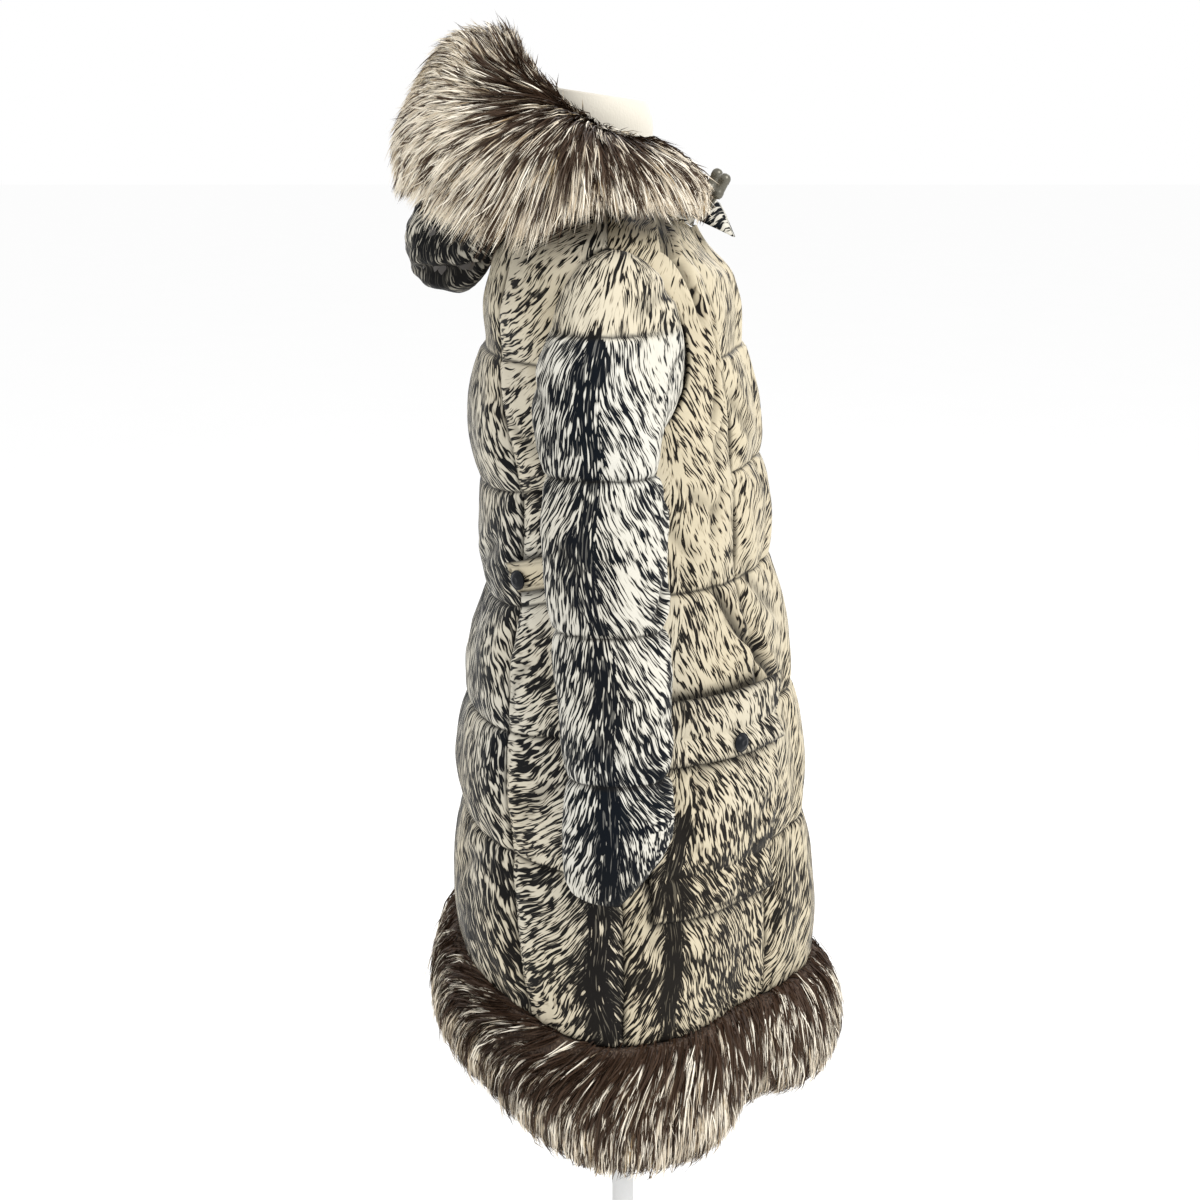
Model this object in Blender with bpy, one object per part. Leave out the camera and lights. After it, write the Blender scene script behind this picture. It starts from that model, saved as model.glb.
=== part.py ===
"""A women's knee-length puffer coat on a limbless dress form, with a long-haired fur ruff and hem band.

Metres, +Z up. The origin is on the floor under the form's pole. The coat faces -Y, so the wearer's right
is -X. The body is one smooth surface, body_point(angle, level). Angle 0 is the centre front, 90 the wearer's
right, 180 the centre back. Each panel is a stretch of that surface: a plain inside, and an outside raised
between the quilting lines.
"""

import math

import bmesh
import bpy
import numpy as np

# ---------------------------------------------------------------- driving dimensions
SEAM_GAP = 0.0003  # between two pieces that meet at a seam
SEAM_THICKNESS = 0.004  # shell, thin padding and lining, where a panel is sewn flat
PUFF_HEIGHT = 0.013  # how far a body channel stands above its quilting lines
FRONT_PUFF_HEIGHT = 0.010
SLEEVE_PUFF_HEIGHT = 0.010
PUFF_ROUNDNESS = 0.6  # power of the sine across a channel: less is fuller
TOP_PUFF = 0.45  # share of the puff that is left above the top quilting line
EDGE_PUFF, EDGE_MARGIN = 0.3, 0.022  # share of the puff at a side seam, and how far in it is whole
CLOTH = 0.003  # collar, flap, tab and pocket walls
LAID_ON = 0.0028  # a pocket, flap or tab above the panel that it lies on
DEPTH_CENTRE = 0.02  # Y of the line that front and back depths are measured from
FRONT_NECK_DROP = 0.045  # how much lower the neckline is at the front
HEM_TILT = 0.022  # the hem is this much lower in front and higher behind
NECK_LEVEL = 1.405
HEM_LEVEL = 0.572
QUILT_LEVELS = (HEM_LEVEL, 0.735, 0.862, 0.989, 1.110, 1.246)
SIDE_FRONT_LEVELS = QUILT_LEVELS[:4]  # the upper side front isn't quilted across

# level, half width, depth in front, depth behind (from DEPTH_CENTRE), all to the quilting lines; how full
# the section is in front and behind (2 is an ellipse, more is boxier, less is drawn out to a keel); and how
# much higher a line runs at the sides and front than at the back
BODY_SECTIONS = np.array([
    (0.560, 0.270, 0.222, 0.158, 1.42, 1.85, 0.000),
    (0.620, 0.264, 0.219, 0.154, 1.50, 1.88, 0.001),
    (0.741, 0.245, 0.206, 0.150, 1.68, 1.95, 0.008),
    (0.861, 0.228, 0.190, 0.144, 1.90, 2.05, 0.019),
    (0.989, 0.205, 0.162, 0.121, 2.10, 2.20, 0.032),
    (1.060, 0.201, 0.154, 0.120, 2.25, 2.30, 0.034),
    (1.130, 0.203, 0.147, 0.128, 2.30, 2.30, 0.015),
    (1.200, 0.208, 0.139, 0.128, 2.30, 2.30, 0.000),
    (1.260, 0.208, 0.130, 0.122, 2.30, 2.30, 0.000),
    (1.310, 0.203, 0.121, 0.113, 2.30, 2.30, 0.000),
    (1.345, 0.188, 0.114, 0.102, 2.20, 2.20, 0.000),
    (1.372, 0.155, 0.102, 0.090, 2.10, 2.10, 0.000),
    (1.392, 0.115, 0.092, 0.082, 2.00, 2.00, 0.000),
    (1.410, 0.074, 0.082, 0.076, 2.00, 2.00, 0.000),
])
# angle, how far the hem swings out there: the skirt hangs in soft waves
HEM_WAVES = np.array([
    (0, 0.000), (20, 0.002), (42, -0.014), (66, 0.005), (90, 0.003), (128, -0.004), (155, 0.004),
    (180, 0.000), (205, 0.006), (235, -0.006), (272, 0.005), (305, -0.008), (335, 0.005), (360, 0.000),
])

# Seams, as angles on the wearer's right; the left mirrors them.
RIGHT_FRONT_EDGE = -9.0  # the right front laps over the left past the centre
LEFT_FRONT_EDGE = -6.0  # the left front runs on beneath it
LAP_LIFT = 0.0056  # how far the lapping front stands off the body
LAP_LANDS = 17.0  # where it is down on the body again
UNDER_LAP = 14.0  # where the left front's padding starts
LAP_FADE = 6.0  # over how many degrees
SIDE_SEAM = 86.0
SHOULDER_SEAM = 90.0
# level, angle of the seam between the front and the side front
FRONT_SEAM = np.array([
    (0.560, 30.0), (0.741, 33.0), (0.862, 34.0), (0.989, 39.0), (1.110, 39.0), (1.246, 39.0), (1.330, 42.0),
    (1.410, 44.0),
])
# level, angle of the seam between the back and the side back
BACK_SEAM = np.array([
    (0.560, 119.0), (0.680, 127.0), (0.862, 132.0), (0.980, 133.0), (1.070, 128.0), (1.160, 131.0),
    (1.262, 144.0), (1.410, 150.0),
])
ARMHOLE_CENTRE, ARMHOLE_HALF_HEIGHT = 1.262, 0.092
ARMHOLE_FRONT, ARMHOLE_BACK = 30.0, 25.0  # how far the armhole reaches from the side, in degrees
ARMHOLE_STEPS = 10

# The sleeve's rings, armhole to cuff: outer edge x and z, inner edge x and z, half width, Y of its middle
SLEEVE_RINGS = np.array([
    (0.1850, 1.354, 0.2110, 1.177, 0.064, 0.007),
    (0.2150, 1.353, 0.2330, 1.177, 0.060, 0.011),
    (0.2620, 1.330, 0.2420, 1.167, 0.053, 0.020),
    (0.2960, 1.280, 0.2480, 1.143, 0.049, 0.026),
    (0.3120, 1.220, 0.2510, 1.125, 0.046, 0.027),
    (0.3180, 1.159, 0.2530, 1.100, 0.047, 0.023),
    (0.3200, 1.085, 0.2550, 1.055, 0.045, 0.022),
    (0.3230, 1.014, 0.2580, 0.998, 0.047, 0.018),
    (0.3280, 0.942, 0.2650, 0.935, 0.041, 0.012),
    (0.3330, 0.872, 0.2720, 0.870, 0.043, 0.010),
    (0.3390, 0.812, 0.2800, 0.822, 0.040, 0.009),
    (0.3440, 0.757, 0.2880, 0.780, 0.043, 0.009),
])
SLEEVE_QUILT = (0.757, 0.872, 1.014, 1.159, 1.285)
SLEEVE_COLUMNS = 2 * ARMHOLE_STEPS
SLEEVE_ROWS_PER_RING = 2
SLEEVE_SEAM = 90.0  # turn of the seam in front; the one behind is opposite
ARMHOLE_SHRINK = 0.035  # the sleeve is sewn just inside the armhole
CUFF_SLANT = 0.044  # how far the cuff rises from its outer edge to its front
CUFF_SLANT_FROM = 0.82  # the share of the sleeve's length at which that starts

# The hood's shell from the neckline, down into its bag and up to the opening edge.
# share of the way, radius and z at the back, radius and z at the side (from the neck's axis)
NECK_AXIS_Y = 0.03
HOOD_PATH = np.array([
    (0.00, 0.075, 1.4125, 0.078, 1.4125),
    (0.10, 0.092, 1.404, 0.081, 1.417),
    (0.24, 0.114, 1.368, 0.084, 1.421),
    (0.36, 0.132, 1.322, 0.087, 1.425),
    (0.48, 0.156, 1.301, 0.089, 1.428),
    (0.60, 0.187, 1.322, 0.090, 1.431),
    (0.72, 0.195, 1.366, 0.0905, 1.436),
    (0.84, 0.163, 1.417, 0.0905, 1.442),
    (0.92, 0.122, 1.465, 0.089, 1.447),
    (1.00, 0.080, 1.520, 0.087, 1.451),
])
HOOD_START, HOOD_END = 62.0, 298.0  # the front ends of the hood, as angles round the neck
HOOD_BAG_SPREAD = 62.0  # how far to each side of the back the bag reaches

# The ruff's section: angle round the neck, then radius and z of its foot, middle of the inside, inner top,
# top, shoulder, widest point and lowest tips
RUFF = np.array([
    (32, 0.104, 1.392, 0.098, 1.404, 0.101, 1.411, 0.106, 1.415, 0.118, 1.409, 0.127, 1.396, 0.121, 1.378),
    (45, 0.110, 1.396, 0.098, 1.414, 0.100, 1.426, 0.111, 1.432, 0.136, 1.425, 0.152, 1.406, 0.146, 1.386),
    (62, 0.116, 1.408, 0.098, 1.424, 0.099, 1.440, 0.116, 1.449, 0.157, 1.442, 0.185, 1.420, 0.187, 1.393),
    (90, 0.118, 1.418, 0.100, 1.434, 0.098, 1.456, 0.120, 1.470, 0.169, 1.463, 0.209, 1.436, 0.226, 1.399),
    (120, 0.130, 1.420, 0.104, 1.452, 0.094, 1.490, 0.112, 1.512, 0.163, 1.500, 0.209, 1.452, 0.226, 1.388),
    (150, 0.166, 1.412, 0.122, 1.476, 0.088, 1.530, 0.104, 1.552, 0.154, 1.536, 0.204, 1.458, 0.208, 1.398),
    (180, 0.180, 1.410, 0.130, 1.478, 0.086, 1.546, 0.102, 1.563, 0.158, 1.543, 0.204, 1.462, 0.202, 1.410),
])
RUFF_COLUMNS = 22

# The fur band at the hem: how far out of the body's surface, and what share of its depth below the hem
HEM_FUR_SECTION = np.array([
    (0.001, 0.005), (0.014, 0.005), (0.028, 0.210), (0.036, 0.560),
    (0.032, 0.870), (0.012, 1.000), (0.001, 0.940), (-0.001, 0.480),
])
# angle, depth of the fur band, and how much fuller it is there than its section
HEM_FUR_FORM = np.array([
    (0, 0.120, 0.013), (22, 0.116, 0.010), (44, 0.108, 0.000), (66, 0.134, 0.002), (92, 0.132, 0.000),
    (135, 0.112, -0.004), (180, 0.112, 0.004), (225, 0.116, 0.000), (268, 0.128, 0.002), (300, 0.118, 0.000),
    (335, 0.124, 0.008), (360, 0.120, 0.013),
])
HEM_FUR_COLUMNS = 40

# The patch pockets, flaps and waist tabs, as (angle, level) corners on the body
POCKET_FRONT, POCKET_BACK = 32.0, 79.0
POCKET_TOP, POCKET_BOTTOM = 0.886, 0.697
POCKET_BULGE = 0.007
FLAP_FRONT, FLAP_BACK = 30.5, 80.0
FLAP_TOP, FLAP_BOTTOM = 0.898, 0.840
TAB_START, TAB_TIP, TAB_HEEL = 87.0, 132.5, 127.5  # its top edge ends at the tip, its lower edge at the heel
TAB_TOP, TAB_BOTTOM = 1.036, 1.004
FLAP_SNAP_AT = (51.5, 0.852)
TAB_SNAP_AT = (125.0, 1.017)
SNAP_RADIUS, SNAP_HEIGHT = 0.010, 0.0045
SNAP_SETTING = 0.0024  # a snap's flat back clears the curved cloth under it
FLAP_OVER_POCKET = 0.004  # clears the pocket's swell

# The collar: its ends as angles, and how far each row stands out from the neckline and above it, where it is
# hidden under the ruff and where its point is folded down
COLLAR_FRONT, COLLAR_BACK = 15.0, 61.0
COLLAR_FOLD, COLLAR_FOLD_LENGTH = 20.0, 10.5  # folded down up to here, and upright this much further on
COLLAR_UPRIGHT = ((0.000, 0.002), (0.000, 0.005), (0.000, 0.008), (-0.001, 0.011))
COLLAR_FOLDED = ((0.001, 0.002), (0.008, 0.024), (0.027, 0.031), (0.047, 0.002))
TOGGLE_ANGLE, TOGGLE_RADIUS_OUT, TOGGLE_Z = 27.0, 0.139, 1.408
TOGGLE_AXIS = (0.0, -0.45, 0.89)
# distance along the toggle, radius: cord stub, collar, barrel, end cap
TOGGLE_PROFILE = ((-0.024, 0.0016), (-0.013, 0.0016), (-0.013, 0.0045), (-0.010, 0.0060), (0.008, 0.0060),
                  (0.010, 0.0052), (0.013, 0.0040))
POLE_RADIUS, BASE_RADIUS, BASE_HEIGHT = 0.0125, 0.165, 0.016

# The dress form: z, half width, Y in front, Y behind
FORM_SECTIONS = np.array([
    (0.800, 0.128, -0.086, 0.086),
    (0.806, 0.140, -0.097, 0.098),
    (0.870, 0.152, -0.108, 0.112),
    (0.960, 0.136, -0.096, 0.092),
    (1.020, 0.124, -0.088, 0.086),
    (1.120, 0.142, -0.096, 0.104),
    (1.220, 0.156, -0.100, 0.108),
    (1.300, 0.158, -0.078, 0.100),
    (1.340, 0.130, -0.050, 0.088),
    (1.366, 0.088, -0.034, 0.084),
    (1.392, 0.058, -0.026, 0.082),
    (1.430, 0.051, -0.024, 0.079),
    (1.490, 0.050, -0.023, 0.079),
    (1.496, 0.047, -0.020, 0.076),
])
CAP_SLANT = 0.15  # the neck cap falls this much for each metre forward

# name: colour, roughness, metallic
FINISHES = {
    "shell_nylon": ((0.58, 0.55, 0.47), 0.50, 0.0),
    "sleeve_nylon": ((0.45, 0.45, 0.43), 0.50, 0.0),
    "fur": ((0.40, 0.33, 0.26), 0.80, 0.0),
    "snap": ((0.03, 0.03, 0.04), 0.35, 0.0),
    "toggle": ((0.16, 0.15, 0.12), 0.35, 0.6),
    "form_jersey": ((0.89, 0.85, 0.76), 0.80, 0.0),
    "stand_paint": ((0.80, 0.80, 0.79), 0.40, 0.0),
}


# ---------------------------------------------------------------- curves and surfaces
def smooth_rows(table, at):
    """The table's other columns at these values of its first, on a Catmull-Rom curve through its rows."""
    at = np.clip(np.asarray(at, float), table[0, 0], table[-1, 0])
    slopes = np.gradient(table[:, 1:], table[:, 0], axis=0)
    row = np.clip(np.searchsorted(table[:, 0], at, side="right") - 1, 0, len(table) - 2)
    span = (table[row + 1, 0] - table[row, 0])[..., None]
    t = (at - table[row, 0])[..., None] / span
    low, high = table[row, 1:], table[row + 1, 1:]
    return (
        low * (1 + 2 * t) * (1 - t) ** 2 + slopes[row] * span * t * (1 - t) ** 2
        + high * t * t * (3 - 2 * t) - slopes[row + 1] * span * t * t * (1 - t)
    )


def ease(value):
    """0 below 0, 1 above 1, and smooth between."""
    value = np.clip(value, 0, 1)
    return value * value * (3 - 2 * value)


def unit(vectors):
    """Vectors over their lengths."""
    return vectors / np.linalg.norm(vectors, axis=-1, keepdims=True)


def body_point(angle, level):
    """The coat's body at its quilting lines."""
    angle, level = np.broadcast_arrays(np.asarray(angle, float), np.asarray(level, float))
    width, front, back, front_power, back_power, rise = np.moveaxis(smooth_rows(BODY_SECTIONS, level), -1, 0)
    turn = np.radians(angle)
    sine, cosine = np.sin(turn), np.cos(turn)
    power = np.where(cosine > 0, front_power, back_power)
    reach = (np.abs(sine) ** power + np.abs(cosine) ** power) ** (-1 / power)
    across, along = sine * reach, cosine * reach
    skirt = ease((0.90 - level) / (0.90 - HEM_LEVEL))
    swing = 1 + smooth_rows(HEM_WAVES, angle % 360)[..., 0] * skirt / width
    x = -width * across * swing
    y = DEPTH_CENTRE - np.where(cosine > 0, front, back) * along * swing
    dropped = FRONT_NECK_DROP * ease((level - 1.27) / (NECK_LEVEL - 1.27)) * np.clip(cosine, 0, 1) ** 1.3
    tilted = HEM_TILT * cosine * ease((0.989 - level) / (0.989 - HEM_LEVEL))
    raised = rise * ease((1 + cosine) / 0.85)
    return np.stack([x, y, level + raised - dropped - tilted], -1)


def outward(surface, first, second, step_first, step_second):
    """Unit normals of surface(first, second), out of the coat."""
    along = surface(first + step_first, second) - surface(first - step_first, second)
    up = surface(first, second + step_second) - surface(first, second - step_second)
    normal = np.cross(up, along)
    return normal / np.linalg.norm(normal, axis=-1, keepdims=True)


def body_normal(angle, level):
    return outward(body_point, angle, level, 0.5, 0.002)


def puff(position, lines):
    """0 on each quilting line, 1 midway between two, and TOP_PUFF beyond the last."""
    lines = np.asarray(lines)
    row = np.clip(np.searchsorted(lines, position, side="right") - 1, 0, len(lines) - 1)
    top = np.append(lines[1:], lines[-1] + 1)[row]
    share = np.clip((position - lines[row]) / (top - lines[row]), 0, 1)
    rounded = np.sin(np.pi * share) ** PUFF_ROUNDNESS
    return np.where(position >= lines[-1], TOP_PUFF * ease((position - lines[-1]) / 0.05), rounded)


def shoulder_fall(level):
    """Padding is thin over the shoulders, under the hood."""
    return 1 - ease((level - 1.33) / 0.06)


def edge_fall(share, length):
    """Padding thins towards a panel's side seams."""
    near = np.minimum(share, 1 - share) * length
    return EDGE_PUFF + (1 - EDGE_PUFF) * ease(near / EDGE_MARGIN)


# ---------------------------------------------------------------- meshes
def add_object(name, mesh, finish):
    colour, roughness, metallic = FINISHES[finish]
    material = bpy.data.materials.new(name)
    material.use_nodes = True
    shader = material.node_tree.nodes["Principled BSDF"]
    shader.inputs["Base Color"].default_value = (*colour, 1)
    shader.inputs["Roughness"].default_value = roughness
    shader.inputs["Metallic"].default_value = metallic
    mesh.materials.append(material)
    mesh.shade_smooth()
    mesh.set_sharp_from_angle(angle=math.radians(50))
    made = bpy.data.objects.new(name, mesh)
    bpy.data.collections["puffer_coat"].objects.link(made)
    return made


def wall(name, inner, outer, finish, round_columns=False):
    """A closed wall between two equal grids of points (rows, columns, 3), joined round if round_columns."""
    rows, columns = inner.shape[:2]
    index = np.arange(rows * columns).reshape(rows, columns)
    if round_columns:
        index = np.concatenate([index, index[:, :1]], axis=1)
    inside = rows * columns
    a, b, c, d = index[:-1, :-1], index[:-1, 1:], index[1:, 1:], index[1:, :-1]
    faces = [np.stack([a, b, c, d], -1).reshape(-1, 4) + inside]
    faces.append(np.stack([a, d, c, b], -1).reshape(-1, 4))
    edges = [(index[0, 1:], index[0, :-1]), (index[-1, :-1], index[-1, 1:])]
    if not round_columns:
        edges += [(index[:-1, 0], index[1:, 0]), (index[1:, -1], index[:-1, -1])]
    for start, end in edges:
        faces.append(np.stack([start, end, end + inside, start + inside], -1))
    mesh = bpy.data.meshes.new(name)
    points = np.concatenate([inner.reshape(-1, 3), outer.reshape(-1, 3)])
    mesh.from_pydata(points.tolist(), [], np.concatenate(faces).tolist())
    shaped = bmesh.new()
    shaped.from_mesh(mesh)
    bmesh.ops.recalc_face_normals(shaped, faces=shaped.faces)
    bmesh.ops.triangulate(shaped, faces=shaped.faces)
    if shaped.calc_volume(signed=True) < 0:
        bmesh.ops.reverse_faces(shaped, faces=shaped.faces)
    shaped.to_mesh(mesh)
    shaped.free()
    return add_object(name, mesh, finish)


def closed_tube(name, rings, finish, loop=False):
    """A closed solid through rings of points (rings, points, 3): its ends are filled, or joined if loop."""
    count, around = rings.shape[:2]
    shaped = bmesh.new()
    made = [[shaped.verts.new(point) for point in ring] for ring in rings]
    pairs = list(zip(made, made[1:]))
    if loop:
        pairs.append((made[-1], made[0]))
    for lower, upper in pairs:
        for here in range(around):
            after = (here + 1) % around
            shaped.faces.new((lower[here], lower[after], upper[after], upper[here]))
    if not loop:
        shaped.faces.new(made[0][::-1])
        shaped.faces.new(made[-1])
    bmesh.ops.recalc_face_normals(shaped, faces=shaped.faces)
    bmesh.ops.triangulate(shaped, faces=shaped.faces)
    if shaped.calc_volume(signed=True) < 0:
        bmesh.ops.reverse_faces(shaped, faces=shaped.faces)
    mesh = bpy.data.meshes.new(name)
    shaped.to_mesh(mesh)
    shaped.free()
    return add_object(name, mesh, finish)


def turned(name, profile, centre, axis, finish, segments=14):
    """A solid turned from (radius, height) pairs about the axis through centre."""
    axis = np.asarray(axis, float) / np.linalg.norm(axis)
    side = np.cross(axis, (0.0, 0.0, 1.0) if abs(axis[2]) < 0.9 else (1.0, 0.0, 0.0))
    side /= np.linalg.norm(side)
    other = np.cross(axis, side)
    turn = np.linspace(0, 2 * np.pi, segments, endpoint=False)[:, None]
    circle = np.cos(turn) * side + np.sin(turn) * other
    rings = np.array([np.asarray(centre) + radius * circle + height * axis for radius, height in profile])
    return closed_tube(name, rings, finish)


# ---------------------------------------------------------------- the body's panels
def armhole_levels():
    """Levels of the rows beside the armhole, bottom to top, evenly spaced round it."""
    turn = np.linspace(math.pi, 0, ARMHOLE_STEPS + 1)
    return ARMHOLE_CENTRE + ARMHOLE_HALF_HEIGHT * np.cos(turn)


def armhole_reach(level, towards):
    """Degrees from the armhole's middle to its edge at this level. towards is -1 in front, 1 behind."""
    height = np.clip((level - ARMHOLE_CENTRE) / ARMHOLE_HALF_HEIGHT, -1, 1)
    return np.where(np.asarray(towards) < 0, ARMHOLE_FRONT, ARMHOLE_BACK) * np.sqrt(1 - height ** 2)


def side_edge(level, towards):
    """Angle where a panel ends at the side: at the side seam, then the armhole, then the shoulder seam."""
    shoulder = ease((level - ARMHOLE_CENTRE) / ARMHOLE_HALF_HEIGHT)
    seam = SIDE_SEAM + (SHOULDER_SEAM - SIDE_SEAM) * shoulder
    return seam + towards * armhole_reach(level, towards)


def body_levels(lines):
    """Row levels from hem to neck: four to a channel, more round the armhole."""
    underarm = ARMHOLE_CENTRE - ARMHOLE_HALF_HEIGHT
    below = [line for line in lines if line < underarm] + [underarm]
    rows = []
    for low, high in zip(below, below[1:]):
        count = 4 if high - low > 0.09 else 2
        rows += list(low + (high - low) * np.arange(count) / count)
    over = np.linspace(ARMHOLE_CENTRE + ARMHOLE_HALF_HEIGHT, NECK_LEVEL, 4)[1:]
    return np.array(rows + list(armhole_levels()) + list(over))


def angles_across(first, last, columns):
    """Angles of a panel's columns. A front that runs on past the centre has one column on the centre."""
    if first.max() < 0:
        return np.concatenate([first, last * np.linspace(0, 1, columns)], axis=1)
    return first + (last - first) * np.linspace(0, 1, columns + 1)


def panel(name, side, start, end, lines, columns, lap=0.0, puff_height=PUFF_HEIGHT):
    """A panel between the angles start(level) and end(level) on the wearer's right, or mirrored for side -1.

    lap is how far it stands off near the centre front, where it lies over the other front.
    """
    levels = body_levels(QUILT_LEVELS)[:, None]
    first, last = start(levels), end(levels)
    radius = np.linalg.norm(body_point(90, levels)[..., :2], axis=-1)
    gap = np.degrees(SEAM_GAP / 2 / radius)
    first, last = first + gap, last - gap
    angle = angles_across(first, last, columns)
    level = levels + 0 * angle
    points, normals = body_point(side * angle, level), body_normal(side * angle, level)
    share, length = (angle - first) / (last - first), np.radians(last - first) * radius
    height = puff_height * puff(level, lines) * edge_fall(share, length) * shoulder_fall(level)
    height *= 1 if lap else ease((angle - UNDER_LAP) / LAP_FADE)
    lift = lap * ease((LAP_LANDS - angle) / LAP_FADE)[..., None]
    outer = points + normals * (SEAM_THICKNESS + height[..., None] + lift)
    return wall(name, points + normals * lift, outer, "shell_nylon")


def seam_of(table):
    return lambda level: smooth_rows(table, level)[..., 0]


def make_body():
    back_seam, front_seam = seam_of(BACK_SEAM), seam_of(FRONT_SEAM)
    panel("back", 1, back_seam, lambda level: 360 - back_seam(level), QUILT_LEVELS, 9)
    behind, before = (lambda level: side_edge(level, 1)), (lambda level: side_edge(level, -1))
    sides = (("right", 1, RIGHT_FRONT_EDGE, LAP_LIFT), ("left", -1, LEFT_FRONT_EDGE, 0))
    for hand, side, edge, lap in sides:
        panel("side_back_" + hand, side, behind, back_seam, QUILT_LEVELS, 5)
        panel("side_front_" + hand, side, front_seam, before, SIDE_FRONT_LEVELS, 5)
        panel("front_" + hand, side, lambda level: edge + 0 * level, front_seam, QUILT_LEVELS, 6, lap,
              FRONT_PUFF_HEIGHT)


def laid_points(side, angle, level, above):
    """Points this far above the panels, with the normals there."""
    normals = body_normal(side * angle, level)
    height = SEAM_THICKNESS + PUFF_HEIGHT * puff(level, QUILT_LEVELS) + above
    return body_point(side * angle, level) + normals * height[..., None], normals


def laid_piece(name, side, front, back, low, high, above, rows=6, bulge=0.0, slant=0.0):
    """A pocket, flap or tab between two angles and two levels; its back end slants by that many degrees."""
    level = np.linspace(low, high, rows)[:, None]
    share = np.linspace(0, 1, 8)[None, :]
    reach = back - slant * (high - level) / (high - low)
    angle = front + (reach - front) * share
    level = level + 0 * angle
    inner, normals = laid_points(side, angle, level, above)
    below_flap = np.clip((level - low) / (FLAP_BOTTOM - POCKET_BOTTOM), 0, 1)
    swell = bulge * np.sin(np.pi * share) ** 0.7 * np.abs(np.sin(np.pi * below_flap)) ** 0.8
    return wall(name, inner, inner + normals * (CLOTH + swell)[..., None], "shell_nylon")


def snap(name, side, at, above):
    """A plain dome snap on the piece whose face is this far above the panels."""
    centre, normal = laid_points(side, np.array(at[0]), np.array(at[1]), np.array(above + SNAP_SETTING))
    rise = SNAP_HEIGHT / 3
    profile = [(SNAP_RADIUS, 0), (SNAP_RADIUS, rise), (SNAP_RADIUS * 0.8, 2.1 * rise), (0.003, SNAP_HEIGHT)]
    turned(name, profile, centre, normal, "snap")


def make_pockets_and_tabs():
    over_pocket = LAID_ON + CLOTH + 2 * SEAM_GAP + FLAP_OVER_POCKET
    for hand, side in (("right", 1), ("left", -1)):
        laid_piece("pocket_" + hand, side, POCKET_FRONT, POCKET_BACK, POCKET_BOTTOM, POCKET_TOP, LAID_ON,
                   rows=9, bulge=POCKET_BULGE)
        laid_piece("flap_" + hand, side, FLAP_FRONT, FLAP_BACK, FLAP_BOTTOM, FLAP_TOP, over_pocket)
        laid_piece("tab_" + hand, side, TAB_START, TAB_TIP, TAB_BOTTOM, TAB_TOP, LAID_ON,
                   slant=TAB_TIP - TAB_HEEL)
        snap("flap_snap_" + hand, side, FLAP_SNAP_AT, over_pocket + CLOTH + SEAM_GAP)
        snap("tab_snap_" + hand, side, TAB_SNAP_AT, LAID_ON + CLOTH + SEAM_GAP)


# ---------------------------------------------------------------- sleeves
def cuff_rise(turn, share):
    """How far the sleeve's front is pulled up towards its cuff."""
    return CUFF_SLANT * np.maximum(np.sin(np.radians(turn)), 0) * ease((share - CUFF_SLANT_FROM) / (1 - CUFF_SLANT_FROM))


def sleeve_point(turn, share, side=1):
    """The sleeve's surface. turn 0 is its outer edge, 90 its front; share 0 is the armhole, 1 the cuff."""
    turn, share = np.broadcast_arrays(np.asarray(turn, float), np.asarray(share, float))
    rings = np.column_stack([np.linspace(0, 1, len(SLEEVE_RINGS)), SLEEVE_RINGS])
    ring = smooth_rows(rings, share)
    outer_edge = np.stack([-ring[..., 0], ring[..., 5], ring[..., 1]], -1)
    inner_edge = np.stack([-ring[..., 2], ring[..., 5], ring[..., 3]], -1)
    centre, half = (outer_edge + inner_edge) / 2, (outer_edge - inner_edge) / 2
    forward = np.stack([0 * turn, -ring[..., 4], 0 * turn], -1)
    angle = np.radians(turn)[..., None]
    tube = centre + half * np.cos(angle) + forward * np.sin(angle)
    level = ARMHOLE_CENTRE + ARMHOLE_HALF_HEIGHT * np.cos(np.radians(turn))
    towards = np.where(np.sin(np.radians(turn)) > 0, -1.0, 1.0)
    inside = armhole_reach(level, towards) * (1 - ARMHOLE_SHRINK)
    armhole = body_point(side_edge(level, 0 * towards) + towards * inside, level)
    join = (1 - ease(share * (len(SLEEVE_RINGS) - 1) / 1.5))[..., None]
    point = armhole * join + tube * (1 - join)
    point[..., 2] += cuff_rise(turn, share)
    return point * np.array([side, 1, 1])


def sleeve_half(name, side, first, last):
    """The outer or the under half of a sleeve, from the turn of one seam to that of the other."""
    rows = SLEEVE_ROWS_PER_RING * (len(SLEEVE_RINGS) - 1)
    share = np.linspace(0, 1, rows + 1)[:, None]
    turn = np.linspace(first, last, SLEEVE_COLUMNS // 2 + 1)[None, :] + 0 * share
    share = share + 0 * turn
    points = sleeve_point(turn, share, side)
    normals = outward(lambda first, second: sleeve_point(first, second, side), turn, share, 1.0, 0.004)
    centre = (points + sleeve_point(turn + 180, share, side)) / 2
    normals *= np.sign((normals * (points - centre)).sum(-1, keepdims=True))
    # Each half stops short of the seam line by half the gap.
    points[:, 0] += SEAM_GAP / 2 * unit(points[:, 1] - points[:, 0])
    points[:, -1] += SEAM_GAP / 2 * unit(points[:, -2] - points[:, -1])
    at_seam = ease((share * rows - 1) / 3)
    level = points[..., 2] - cuff_rise(turn, share)
    height = SLEEVE_PUFF_HEIGHT * puff(level, SLEEVE_QUILT) * at_seam
    thickness = SEAM_THICKNESS + height
    # At the armhole the wall lies inside the seam line.
    inset = SEAM_THICKNESS * (1 - ease((share * rows - 1) / 2))
    inner, outer = points - normals * inset[..., None], points + normals * (thickness - inset)[..., None]
    wall(name, inner, outer, "sleeve_nylon")


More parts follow.
